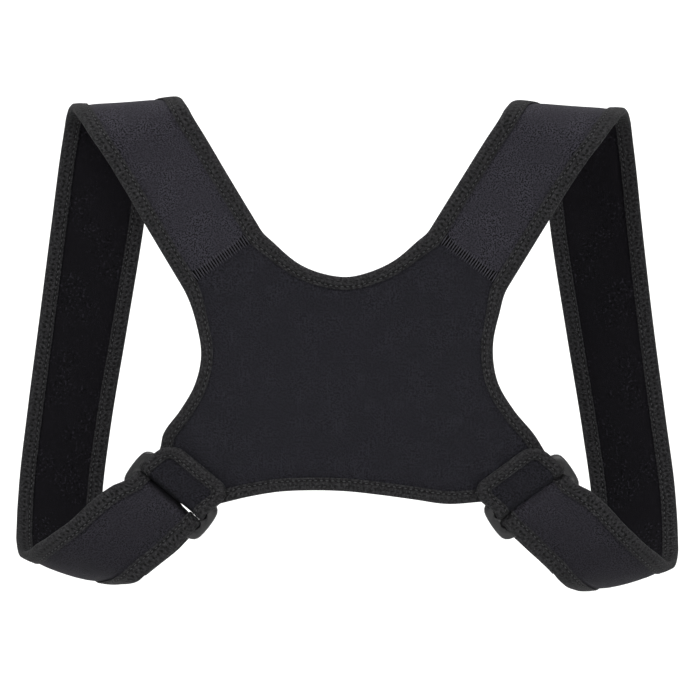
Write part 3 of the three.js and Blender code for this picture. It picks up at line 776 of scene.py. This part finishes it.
def twisted(name, colour):
    """Spun sewing thread."""
    n = Nodes(name)
    at = n.place(turn=0.5, cloth=False)
    ply = n.wave(at, 900, 1.0)
    fluff = n.noise(at, 1800, 2.0, 0.6)
    tone = n.times(n.math("ADD", ply, fluff), 0.5)
    return n.finish({
        "Base Color": n.mix(tone, shade(colour, 0.7), shade(colour, 1.8)), "Roughness": 0.7,
        "Specular IOR Level": 0.15, "Normal": n.bump(ply, 0.0001, 0.5)})


def moulded(name, colour):
    """Semi-gloss plastic with faint flow marks and fine scratches."""
    n = Nodes(name)
    flow = n.noise(n.place(turn=0.3, cloth=False), 60, 3.0)
    fine = n.noise(n.place((1, 9, 9), 0.8, cloth=False), 500, 2.0, 0.6)
    return n.finish({
        "Base Color": n.mix(flow, shade(colour, 0.85), shade(colour, 1.2)),
        "Roughness": n.math("ADD", n.times(fine, 0.12), 0.12, clamp=True),
        "Specular IOR Level": 0.22, "Coat Weight": 0.06, "Coat Roughness": 0.12,
        "Normal": n.bump(flow, 0.0002, 0.25)})


MATERIALS = {}


def material(key):
    """One of the materials, made when it is first asked for."""
    if key not in MATERIALS:
        c = colours()
        # Maker, name, colour and tone, the tone of the tab and the seam bed being painted shade; knits then
        # have the size of their loops, sheen, roughness, the grain's size and contrast, wales, and how
        # bright the painted shade under the arms leaves them
        maker, name, colour, tone, *more = {
            "panel": (knit, "Panel knit", c.panel, 1, 0.0009, 0.006, 0.85, 0.0012, 0.7, 0.9),
            "strap": (knit, "Strap knit", c.strap, 1, 0.0008, 0.008, 0.75, 0.00095, 1.0, 0.0, 0.64),
            # The tab's knit is the panel's, darkened as painted shade
            "tab": (knit, "Tab knit", c.panel, 0.85, 0.0009, 0.006, 0.88, 0.0012, 0.8),
            "lining": (brushed, "Brushed lining", c.lining, 1),
            "tape": (ribbed, "Ribbed edge tape", c.tape, 1),
            "thread": (twisted, "Sewing thread", c.thread, 1),
            "seam": (twisted, "Seam thread", c.strap, 1.3),
            # The seam bed's near-black tone is painted shade between the seam's threads
            "bed": (knit, "Seam bed", c.tape, 0.06, 0.0009, 0.001, 0.9, 0.0012, 0.3),
            "plastic": (moulded, "Moulded plastic", c.plastic, 1),
        }[key]
        MATERIALS[key] = maker(name, shade(colour, tone), *more)
    return MATERIALS[key]


# Cloth and tape profiles
def fabric_half(depth, band):
    """Half the cloth's thickness at a depth from the tape's edge."""
    rise = sizes().pad_rise / MM * smoothstep((depth - band) / PAD_RUN)
    groove = GROOVE * np.exp(-(((depth - band - GROOVE_AT) / GROOVE_HALF) ** 2))
    return FABRIC / 2 - THINNER + rise - groove


def tape_height(depth, band):
    """Height of the tape's outer face over the middle surface."""
    round_edge = np.sqrt(np.clip(1 - (1 - np.clip(depth / EDGE_ROUND, 0, 1)) ** 2, 0, 1))
    belly = 1 + BELLY * np.sin(np.pi * np.clip(depth / band, 0, 1))
    furrow = FURROW * np.exp(-(((depth - (band - SUNK)) / FURROW_HALF) ** 2))
    lip = LIP * smoothstep((depth - (band - LIP_RUN)) / LIP_RUN)
    return BOUND / 2 * round_edge * belly - furrow - lip


def tape_profile(band):
    """Depth and height of the tape's section: over one face, round the edge, back, and inside."""
    outer = np.r_[band, band - 0.25, band - LIP_RUN, band - 1.3, band - SUNK, band - 2.5, band - 3.2,
                  np.linspace(band - 4.4, 2.4, 4), 1.5, 0.9, 0.45, 0.15]
    top = [(d, float(tape_height(d, band))) for d in outer]
    under = [(d, -h) for d, h in reversed(top)]
    inner = BOUND / 2 - TAPE - 0.05
    inside = [(band - 0.1, inner - 0.25), (TAPE, inner - 0.2)]
    return top + [(0.0, 0.0)] + under + [(d, -h) for d, h in inside] + inside[::-1]


def strap_tape(s, edge):
    """Rings of the tape along one edge of a strap."""
    cut = []
    for depth, height in tape_profile(STRAP_BAND):
        a = edge * (s["half"] - depth)
        cut.append(on_strap(s, a, np.full(len(a), height)))
    return mirrored(np.stack(cut, 1), s["side"])


def panel_tape(f):
    """Rings of the tape along one edge of the panel."""
    return np.array([
        [edge + inward * d + normal * h for d, h in tape_profile(band)]
        for edge, inward, normal, band in zip(f["edge"], f["inward"], f["normal"], f["bands"])])


def both_faces(across):
    """The map round a sheet's section: over its outer face, back over the inner one, and closed."""
    return np.r_[across, across[::-1], across[0]]


def tape_object(name, rings, *nodes):
    """A tape of rings, whose points know how far they lie from the tape's border."""
    obj = loft(name, rings, run_along(rings[:, 14]), run_along(rings[0]), [material("tape")])
    depth = np.array([STRAP_BAND - d for d, _ in tape_profile(STRAP_BAND)]) * MM
    mark(obj, "border", np.tile(depth, len(rings)))
    return finish_piece(obj, "edge_tape", *nodes)


# Operators
class CORRECTOR_OT_panel(bpy.types.Operator):
    """Builds the bowed padded panel between the shoulder blades"""
    bl_idname = "corrector.panel"
    bl_label = "Back panel"

    def execute(self, context):
        p = plan()
        neck, hem = p["neck"], p["hem"]
        arms = [p[word]["arm"] for word in SIDES]

        def inset(f):
            return (f["edge"] + f["inward"] * INSET)[:, [0, 2]]

        def border(start, middle, end):
            t = np.linspace(0, 1, PANEL_ENDS, endpoint=False)[:, None]
            middle = spread(middle, PANEL_ALONG)
            return np.concatenate([start + (middle[0] - start) * t, middle,
                                   middle[-1] + (end - middle[-1]) * np.r_[t[1:], [[1.0]]]])

        left, right = inset(arms[0]), inset(arms[1])
        top = border(left[0], inset(neck), right[0])
        bottom = border(left[-1], inset(hem), right[-1])
        down, wide = PANEL_DOWN, len(top)
        left, right = spread(left, down), spread(right, down)
        s = np.linspace(0, 1, wide)[None, :, None]
        t = np.linspace(0, 1, down)[:, None, None]
        net = ((1 - t) * top[None] + t * bottom[None] + (1 - s) * left[:, None] + s * right[:, None]
               - (1 - s) * (1 - t) * top[0] - s * (1 - t) * top[-1]
               - (1 - s) * t * bottom[0] - s * t * bottom[-1])
        flat = net.reshape(-1, 2)
        # Depth from the nearest taped edge sets the thickness
        edges = np.concatenate([f["edge"][:, [0, 2]] for f in (neck, hem, *arms)])
        depth = np.full(len(flat), 1e9)
        for k in range(0, len(edges), 3):
            depth = np.minimum(depth, np.hypot(*(flat - edges[k]).T))
        half = fabric_half(depth, PANEL_BAND)
        middle = np.stack([flat[:, 0], wing_y(flat[:, 0]), flat[:, 1]], 1)
        normal = wing_normal(flat[:, 0])
        points = np.concatenate([middle + normal * half[:, None], middle - normal * half[:, None]])
        count = len(flat)
        faces, uvs, slots = [], [], []
        for j in range(down - 1):
            for i in range(wide - 1):
                a = j * wide + i
                quad = (a, a + 1, a + 1 + wide, a + wide)
                faces.append(quad)
                faces.append(tuple(count + k for k in reversed(quad)))
                uvs += [flat[k] for k in quad] + [flat[k] for k in reversed(quad)]
                slots += [0, 1]
        rim = ([*range(wide - 1)] + [j * wide + wide - 1 for j in range(down - 1)]
               + [(down - 1) * wide + i for i in range(wide - 1, 0, -1)]
               + [j * wide for j in range(down - 1, 0, -1)])
        after = rim[1:] + rim[:1]
        for a, b in zip(rim, after):
            faces.append((a, count + a, count + b, b))
            uvs += [flat[a], flat[a], flat[b], flat[b]]
            slots.append(0)
        obj = new_object("panel_cloth", points, faces, [material("panel"), material("lining")],
                         np.array(uvs) * MM, slots)
        finish_piece(obj, "panel_fabric", "back_panel")
        area = 0.5 * abs(sum(flat[a][0] * flat[b][1] - flat[b][0] * flat[a][1] for a, b in zip(rim, after)))
        # Laid flat it has a little more area too
        area *= math.hypot(1, WING_SLOPE * 0.8)
        return {"FINISHED"}


class CORRECTOR_OT_straps(bpy.types.Operator):
    """Builds the two padded shoulder straps"""
    bl_idname = "corrector.straps"
    bl_label = "Shoulder straps"

    def execute(self, context):
        p = plan()
        shares = np.r_[-1, -0.97, -0.9, -0.8, -0.7, -0.64, -0.58, -0.5, -0.4, -0.2, 0]
        shares = np.r_[shares, -shares[-2::-1]]
        slots = [0] * len(shares) + [1] * len(shares)
        for word, side in SIDES.items():
            s = p[word]["wrapped"]
            rings = []
            for face in (1, -1):
                for share in shares[::face]:
                    a = share * (s["half"] - INSET)
                    rings.append(on_strap(s, a, face * fabric_half(s["half"] - np.abs(a), STRAP_BAND)))
            rings = mirrored(np.stack(rings, 1), side)
            run = run_along(s["place"])
            width = float(s["half"].mean() - INSET)
            obj = loft(f"{word}_strap_cloth", rings, run, both_faces(shares * width),
                       [material("strap"), material("lining")], slots)
            # Painted shade for the strap's cloth as it turns down into the slot beside the tab
            painted_fold_shade = smoothstep((s["turn"] - 0.3) / 0.9) * (s["turn"] < 1.8)
            mark(obj, "painted_fold_shade", np.repeat(FOLD_SHADE[side] * painted_fold_shade, rings.shape[1]))
            finish_piece(obj, "strap_fabric", f"{word}_strap")
        return {"FINISHED"}


class CORRECTOR_OT_tapes(bpy.types.Operator):
    """Folds the edge tape over the neckline, hem, armholes and strap edges"""
    bl_idname = "corrector.tapes"
    bl_label = "Edge tapes"

    def execute(self, context):
        p = plan()
        left, right = p["left"]["wrapped"], p["right"]["wrapped"]
        rings = [strap_tape(left, 1)[::-1], panel_tape(p["neck"])[1:-1], strap_tape(right, 1)]
        tape_object("neck_tape", np.concatenate(rings), "neck_binding")
        tape_object("hem_tape", panel_tape(p["hem"]), "hem_binding")
        for word in SIDES:
            rings = [strap_tape(p[word]["wrapped"], -1)[::-1], panel_tape(p[word]["arm"])[1:]]
            tape_object(f"{word}_arm_tape", np.concatenate(rings), f"{word}_arm_binding")
        return {"FINISHED"}


def tab_outline(inset):
    """Points round the tab's outer leg from the bar's one end to the other, with inward directions."""
    half = TAB_WIDTH / 2 - GATHER / 2 - inset
    end = TAB_LENGTH - inset
    radius = TAB_ROUND - inset
    rows = [(t, -half, 0.0, 1.0) for t in np.linspace(TAB_START, end - radius, 7)[:-1]]
    for a in np.linspace(0, math.pi / 2, 15):
        rows.append((end - radius + radius * math.sin(a), -half + radius - radius * math.cos(a),
                     -math.sin(a), math.cos(a)))
    rows += [(end, a, -1.0, 0.0) for a in np.linspace(-half + radius, 0, 6)[1:]]
    rows = np.array(rows)
    return np.concatenate([rows, rows[:-1][::-1] * [1, -1, 1, -1]])


def tab_frames(f, inset=0.0):
    """Edge point, direction inwards and normal round the tab's outer leg and its turn."""
    turn = []
    for a in np.radians([115, 95, 75, 55, 35, 15]):
        turn.append((f["n"] * math.cos(a) - f["t"] * math.sin(a), f["t"] * 0.15 * math.sin(a)))
    made = []
    for sign in (-1, 1):
        base = spot(f, TAB_START, sign * (TAB_WIDTH / 2 - GATHER / 2 - inset), 0.0)
        made.append([(base + normal * LEG + away, -sign * f["a"], normal) for normal, away in turn])
    outer = []
    for t, a, it, ia in tab_outline(inset):
        outer.append((spot(f, t, a + lean(t), LEG), f["t"] * it + f["a"] * (ia + it * math.tan(PULL)),
                      f["n"]))
    return made[0] + outer + made[1][::-1]


class CORRECTOR_OT_tabs(bpy.types.Operator):
    """Builds the tabs round the rings' inner bars, with the tape round their ends"""
    bl_idname = "corrector.tabs"
    bl_label = "Tabs"

    def execute(self, context):
        p = plan()
        shares = np.linspace(-1, 1, TAB_COLUMNS)
        across = shares * (TAB_WIDTH / 2 - GATHER / 2 - INSET)
        turns = math.pi * np.arange(1, TAB_TURNS + 1) / TAB_TURNS
        # The outer leg's half breadth from its rounded end to the bar
        arc = tab_outline(INSET)
        arc = arc[:len(arc) // 2 + 1]
        halves = [(arc[-1][0], -arc[-6][1])] + [(t, -a) for t, a, _, _ in arc[::-1][6:]]
        for word, side in SIDES.items():
            f = p[word]["ring"]
            rows = []
            for t, half in halves:
                depth = np.minimum(half - np.abs(shares * half), TAB_LENGTH - t) + INSET
                thick = fabric_half(depth, PANEL_BAND)
                rows.append([spot(f, t, shares * half + lean(t), LEG + h) for h in (thick, -thick)])
            for a in turns:
                normal = f["n"] * math.cos(a) - f["t"] * math.sin(a)
                toward = np.interp(across, *TAB_MEET[side]) * swell(a, *SWELL[side][1:])
                base = spot(f, TAB_START, across, 0.0) - np.multiply.outer(toward, f["t"])
                rows.append([base + normal * (LEG + h) for h in (FABRIC / 2, -FABRIC / 2)])
            for t in np.linspace(TAB_START, TAB_INSIDE, 8)[1:]:
                rows.append([spot(f, t, across + lean(t), h - LEG) for h in (-FABRIC / 2, FABRIC / 2)])
            rings = np.array([np.concatenate([outer, inner[::-1]]) for outer, inner in rows])
            rings = mirrored(rings, side)
            run = run_along(rings[:, TAB_COLUMNS // 2])
            obj = loft(f"{word}_tab_cloth", rings, run, both_faces(across), [material("tab")])
            # Painted shade for the tab's cloth as it turns down into the slot beside the strap
            painted_fold_shade = np.zeros(len(rows))
            painted_fold_shade[len(halves):len(halves) + 9] = smoothstep((turns[:9] - 0.5) / 0.9)
            mark(obj, "painted_fold_shade", np.repeat(FOLD_SHADE[side] * painted_fold_shade, rings.shape[1]))
            finish_piece(obj, "tab_fabric", f"{word}_tab")
            rings = np.array([[edge + inward * d + normal * h for d, h in tape_profile(PANEL_BAND)]
                              for edge, inward, normal in tab_frames(f)])
            tape_object(f"{word}_tab_tape", mirrored(rings, side), f"{word}_tab_binding")
        return {"FINISHED"}


def rounded(a, wide, high, square):
    """A point in the direction a on a rectangle with rounded corners."""
    c, s = math.cos(a), math.sin(a)
    r = (abs(c / wide) ** square + abs(s / high) ** square) ** (-1 / square)
    return r * c, r * s


class CORRECTOR_OT_rings(bpy.types.Operator):
    """Moulds the two flat plastic rings"""
    bl_idname = "corrector.rings"
    bl_label = "Rings"

    def execute(self, context):
        p = plan()
        reach = RING_REACH / 2
        slot = STRAP_WIDTH / 2 - GATHER + SLOT_ROOM
        corner = STRAP_WIDTH / 2 + GAP + RING_ENDS - DRAWN_IN
        # Rim and window, sampled at the same directions
        rim, hole = [], []
        for a in 2 * math.pi * np.arange(RING_STEPS) / RING_STEPS:
            t, w = rounded(a, reach, corner + 0.2, RIM_SQUARE)
            bulge = BULGE_SHARE * RING_BULGE * max(0, 1 - (t / reach) ** 2) * min(abs(w) / corner, 1) ** 8
            rim.append((t, w + math.copysign(bulge, w)))
            t, w = rounded(a, WINDOW / 2, slot, WINDOW_SQUARE)
            # The window's ends point inwards, between the rounded edges of strap and tab
            hole.append((t, w - math.copysign(NOSE * max(0, 1 - abs(t) / NOSE_HALF) ** 1.5, w)))
        rim, hole = np.array(rim), np.array(hole)
        # Down the rim's rounded side, then up the window's
        profile = [(outer, RING_BEVEL * (1 - math.sin(a)), turn * RING_THICK / 2 * math.cos(a))
                   for outer, turn in ((True, 1), (False, -1)) for a in np.linspace(0, math.pi, 7)]
        for word, side in SIDES.items():
            f = p[word]["ring"]
            rings = []
            for at_rim, at_hole in zip(rim, hole):
                toward = unit(at_hole - at_rim)
                places = [(at_rim + toward * inset if outer else at_hole - toward * inset, height)
                          for outer, inset, height in profile]
                rings.append([spot(f, q[0], q[1], height) for q, height in places])
            rings = mirrored(np.array(rings), side)
            points = rings.reshape(-1, 3)
            # The last quads run back to the first points
            faces = np.array(grid_faces(RING_STEPS + 1, len(profile))) % len(points)
            obj = new_object(f"{word}_ring_body", points, faces, [material("plastic")])
            finish_piece(obj, "ring_plastic", f"{word}_ring")
        return {"FINISHED"}


# Threads
def thread_tree():
    """Geometry nodes that set threads along a path of points with an up direction."""
    tree = bpy.data.node_groups.new("Threads along a path", "GeometryNodeTree")
    for label, kind in (("Geometry", "Geometry"), ("Pitch", "Float"), ("Thread Length", "Float"),
                        ("Thread Breadth", "Float"), ("Thread Height", "Float"), ("Tilt", "Float"),
                        ("Turn", "Float"), ("Seed", "Int"), ("Material", "Material")):
        tree.interface.new_socket(label, in_out="INPUT", socket_type="NodeSocket" + kind)
    tree.interface.new_socket("Geometry", in_out="OUTPUT", socket_type="NodeSocketGeometry")

    def add(kind, values=None, **settings):
        return add_node(tree, kind, values, **settings).outputs

    def reckon(operation, a, b):
        return add("ShaderNodeMath", {0: a, 1: b}, operation=operation)[0]

    given = add("NodeGroupInput")
    path = add("GeometryNodeMeshToCurve", {"Mesh": given["Geometry"]})
    points = add("GeometryNodeResampleCurve", {"Curve": path[0], "Length": given["Pitch"]}, mode="LENGTH")
    ball = add("GeometryNodeMeshUVSphere", {"Segments": 8, "Rings": 5, "Radius": 0.5})
    # Each thread lies along the path, with its top towards the up direction
    tangent = add("GeometryNodeInputTangent")
    along = add("FunctionNodeAlignRotationToVector", {"Vector": tangent[0]}, axis="X")
    up = add("GeometryNodeInputNamedAttribute", {"Name": "up"}, data_type="FLOAT_VECTOR")
    upright = add("FunctionNodeAlignRotationToVector", {"Rotation": along[0], "Vector": up["Attribute"]},
                  axis="Z", pivot_axis="X")
    # and is tilted to one side and the other by turns, never quite alike
    odd = reckon("MODULO", add("GeometryNodeInputIndex")[0], 2.0)
    sign = reckon("SUBTRACT", reckon("MULTIPLY", odd, 2.0), 1.0)
    jitter = add("FunctionNodeRandomValue", {"Min": -0.5, "Max": 0.5, "Seed": given["Seed"]},
                 data_type="FLOAT")
    swing = reckon("MULTIPLY", reckon("ADD", sign, jitter["Value"]), given["Tilt"])
    spin = add("FunctionNodeAxisAngleToRotation", {
        "Axis": (0, 0, 1), "Angle": reckon("ADD", swing, given["Turn"])})
    turned = add("FunctionNodeRotateRotation", {0: upright[0], 1: spin[0]}, rotation_space="LOCAL")
    size = add("ShaderNodeCombineXYZ", {
        0: given["Thread Length"], 1: given["Thread Breadth"], 2: given["Thread Height"]})
    laid = add("GeometryNodeInstanceOnPoints", {
        "Points": points[0], "Instance": ball["Mesh"], "Rotation": turned[0], "Scale": size[0]})
    real = add("GeometryNodeRealizeInstances", {0: laid[0]})
    smooth = add("GeometryNodeSetShadeSmooth", {0: real[0]})
    paint = add("GeometryNodeSetMaterial", {"Geometry": smooth[0], "Material": given["Material"]})
    add("NodeGroupOutput", {0: paint[0]})
    return tree


def threads(name, paths, tree, values):
    """Sets threads along the paths, each a pair of points in millimetres and their up directions."""
    points, ups, edges = [], [], []
    for path, up in paths:
        start = len(points)
        points += [tuple(q) for q in np.asarray(path) * MM]
        ups += [tuple(u) for u in up]
        edges += [(start + k, start + k + 1) for k in range(len(path) - 1)]
    mesh = bpy.data.meshes.new(name + "_path")
    mesh.from_pydata(points, edges, [])
    attribute = mesh.attributes.new("up", "FLOAT_VECTOR", "POINT")
    attribute.data.foreach_set("vector", np.array(ups, np.float32).ravel())
    helper = placed(name + "_path", mesh)
    modifier = helper.modifiers.new("Threads", "NODES")
    modifier.node_group = tree
    for item in tree.interface.items_tree:
        if item.in_out == "INPUT" and item.name in values:
            modifier[item.identifier] = values[item.name]
    graph = bpy.context.evaluated_depsgraph_get()
    graph.update()
    made = bpy.data.meshes.new_from_object(helper.evaluated_get(graph))
    made.name = name
    obj = placed(name, made)
    helper.modifiers.remove(modifier)
    bpy.data.objects.remove(helper)
    if not len(made.polygons):
        raise RuntimeError(f"{name}: no threads were made")
    return obj


def strap_line(s, edge, face):
    """The line of stitches along one edge of a strap, on its outer (1) or inner (-1) face."""
    depth = STRAP_BAND - SUNK
    a = edge * (s["half"] - depth)
    height = tape_height(np.full(len(a), depth), STRAP_BAND) + STITCH_LIFT
    return mirrored(on_strap(s, a, face * height), s["side"]), mirrored(s["normal"] * face, s["side"])


def panel_line(f, face):
    """The line of stitches along one edge of the panel."""
    depth = f["bands"] - SUNK
    height = tape_height(depth, f["bands"]) + STITCH_LIFT
    points = f["edge"] + f["inward"] * depth[:, None] + f["normal"] * (face * height)[:, None]
    return points, f["normal"] * face


class CORRECTOR_OT_stitches(bpy.types.Operator):
    """Sews the edge tapes down and closes the seams between straps and panel"""
    bl_idname = "corrector.stitches"
    bl_label = "Stitches and seams"

    def execute(self, context):
        p = plan()
        z = sizes()
        tree = thread_tree()
        runs = {f"{word}_strap_stitches": [strap_line(p[word]["wrapped"], edge, face)
                                           for edge in (-1, 1) for face in (1, -1)] for word in SIDES}
        borders = (p["neck"], p["hem"], p["left"]["arm"], p["right"]["arm"])
        runs["panel_stitches"] = [panel_line(f, face) for f in borders for face in (1, -1)]
        rise = float(tape_height(PANEL_BAND - SUNK, PANEL_BAND)) + STITCH_LIFT
        for word, side in SIDES.items():
            frames = tab_frames(p[word]["ring"], PANEL_BAND - SUNK)
            runs["panel_stitches"].append((
                mirrored(np.array([edge + normal * rise for edge, _, normal in frames]), side),
                mirrored(np.array([normal for _, _, normal in frames]), side)))
        values = {"Pitch": z.stitch_pitch, "Thread Length": z.stitch_length,
                  "Thread Breadth": z.thread * THREAD_FLAT, "Thread Height": z.thread, "Tilt": 0.06,
                  "Turn": 0.0, "Seed": 3, "Material": material("thread")}
        for name, paths in runs.items():
            finish_piece(threads(name, paths, tree, values), "edge_tape")
        values = {"Pitch": z.seam_pitch, "Thread Length": z.seam_breadth,
                  "Thread Breadth": SEAM_THREAD * MM, "Thread Height": SEAM_HEIGHT * MM, "Tilt": 0.05,
                  "Turn": math.pi / 2, "Seed": 5, "Material": material("seam")}
        breadth = z.seam_breadth / MM / 2
        bed = [(breadth * math.cos(a),
                (FABRIC / 2 + BED_LIFT) * math.copysign(abs(math.sin(a)) ** BED_SQUARE, math.sin(a)))
               for a in 2 * math.pi * np.arange(BED_POINTS) / BED_POINTS]
        for word, side in SIDES.items():
            first = {k: v[0] for k, v in p[word]["sections"].items()}
            reach = first["half"] - STRAP_BAND + 1.0
            across = np.linspace(-reach, reach, SEAM_POINTS)
            middle = (first["place"] - first["tangent"] * GAP * 0.5
                      + np.multiply.outer(across * first["skew"], first["across"]))
            lines = []
            for face in (1, -1):
                up = np.repeat((first["normal"] * face)[None], SEAM_POINTS, 0)
                lines.append((mirrored(middle + up * (FABRIC / 2 + SEAM_LIFT), side), mirrored(up, side)))
            finish_piece(threads(f"{word}_seam_threads", lines, tree, values), "strap_fabric")
            # The bed covers the seam's gap; its near-black material is painted shade between the threads
            rings = np.stack([middle + first["tangent"] * t + first["normal"] * h for t, h in bed], 1)
            obj = loft(f"{word}_seam_bed", mirrored(rings, side), across + reach,
                       np.linspace(0, breadth * 4.4, BED_POINTS + 1), [material("bed")])
            finish_piece(obj, "strap_fabric")
        return {"FINISHED"}


class CORRECTOR_OT_stage(bpy.types.Operator):
    """Sets the pale floor, the soft lights and the camera"""
    bl_idname = "corrector.stage"
    bl_label = "Stage"

    def execute(self, context):
        scene = context.scene
        studio = scene.corrector_studio
        around = 64
        angles = 2 * math.pi * np.arange(around) / around
        points = np.concatenate([
            np.stack([r * np.cos(angles), r * np.sin(angles), np.full(around, h - studio.floor_drop)], 1)
            for r, h in FLOOR])
        mesh = bpy.data.meshes.new("studio_floor")
        mesh.from_pydata([tuple(q) for q in points], [], grid_faces(len(FLOOR), around))
        mesh.polygons.foreach_set("use_smooth", np.full(len(mesh.polygons), True))
        mesh.materials.append(Nodes("Pale floor").finish({
            "Base Color": (*colours().floor, 1.0), "Roughness": 0.9, "Specular IOR Level": 0.1}))
        placed("studio_floor", mesh)
        world = bpy.data.worlds.new("Studio")
        scene.world = world
        world.use_nodes = True
        sky = world.node_tree.nodes["Background"].inputs
        sky["Color"].default_value = (1.0, 1.0, 1.0, 1.0)
        sky["Strength"].default_value = WORLD_LIGHT
        for name, place, aim, size, power in LIGHTS:
            light = bpy.data.lights.new(name, "AREA")
            light.shape = "DISK"
            light.size = size
            light.energy = power
            obj = placed(name, light)
            obj.location = place
            obj.rotation_euler = (Vector(aim) - Vector(place)).to_track_quat("-Z", "Y").to_euler()
        camera = bpy.data.cameras.new("Camera")
        camera.lens = studio.lens
        camera.sensor_width = 36
        eye = placed("Camera", camera)
        eye.matrix_world = (Matrix.Translation(Vector(EYE) - Vector((0, studio.distance, 0)))
                            @ Matrix.Rotation(math.radians(90), 4, "X")
                            @ Matrix.Rotation(studio.roll, 4, "Z"))
        scene.camera = eye
        scene.view_settings.view_transform = "Standard"
        return {"FINISHED"}


class CORRECTOR_PT_panel(bpy.types.Panel):
    """Lists the posture corrector's pieces and values"""
    bl_idname = "CORRECTOR_PT_panel"
    bl_label = "Posture corrector"
    bl_space_type = "VIEW_3D"
    bl_region_type = "UI"
    bl_category = "Posture corrector"

    def draw(self, context):
        for step in STEPS:
            self.layout.operator(step.bl_idname)
        for group in (context.scene.corrector_sizes, context.scene.corrector_colours,
                      context.scene.corrector_studio):
            box = self.layout.box()
            for key in group.__annotations__:
                box.prop(group, key)


STEPS = (CORRECTOR_OT_stage, CORRECTOR_OT_panel, CORRECTOR_OT_straps, CORRECTOR_OT_tapes,
         CORRECTOR_OT_rings, CORRECTOR_OT_tabs, CORRECTOR_OT_stitches)
CLASSES = (CorrectorSizes, CorrectorColours, CorrectorStudio, *STEPS, CORRECTOR_PT_panel)


def register():
    for c in CLASSES:
        bpy.utils.register_class(c)
    bpy.types.Scene.corrector_sizes = bpy.props.PointerProperty(type=CorrectorSizes)
    bpy.types.Scene.corrector_colours = bpy.props.PointerProperty(type=CorrectorColours)
    bpy.types.Scene.corrector_studio = bpy.props.PointerProperty(type=CorrectorStudio)


def unregister():
    for key in ("corrector_sizes", "corrector_colours", "corrector_studio"):
        delattr(bpy.types.Scene, key)
    for c in reversed(CLASSES):
        bpy.utils.unregister_class(c)


def main():
    register()
    bpy.ops.corrector.stage()
    bpy.ops.corrector.panel()
    bpy.ops.corrector.straps()
    bpy.ops.corrector.tapes()
    bpy.ops.corrector.rings()
    bpy.ops.corrector.tabs()
    bpy.ops.corrector.stitches()


if __name__ == "__main__":
    main()
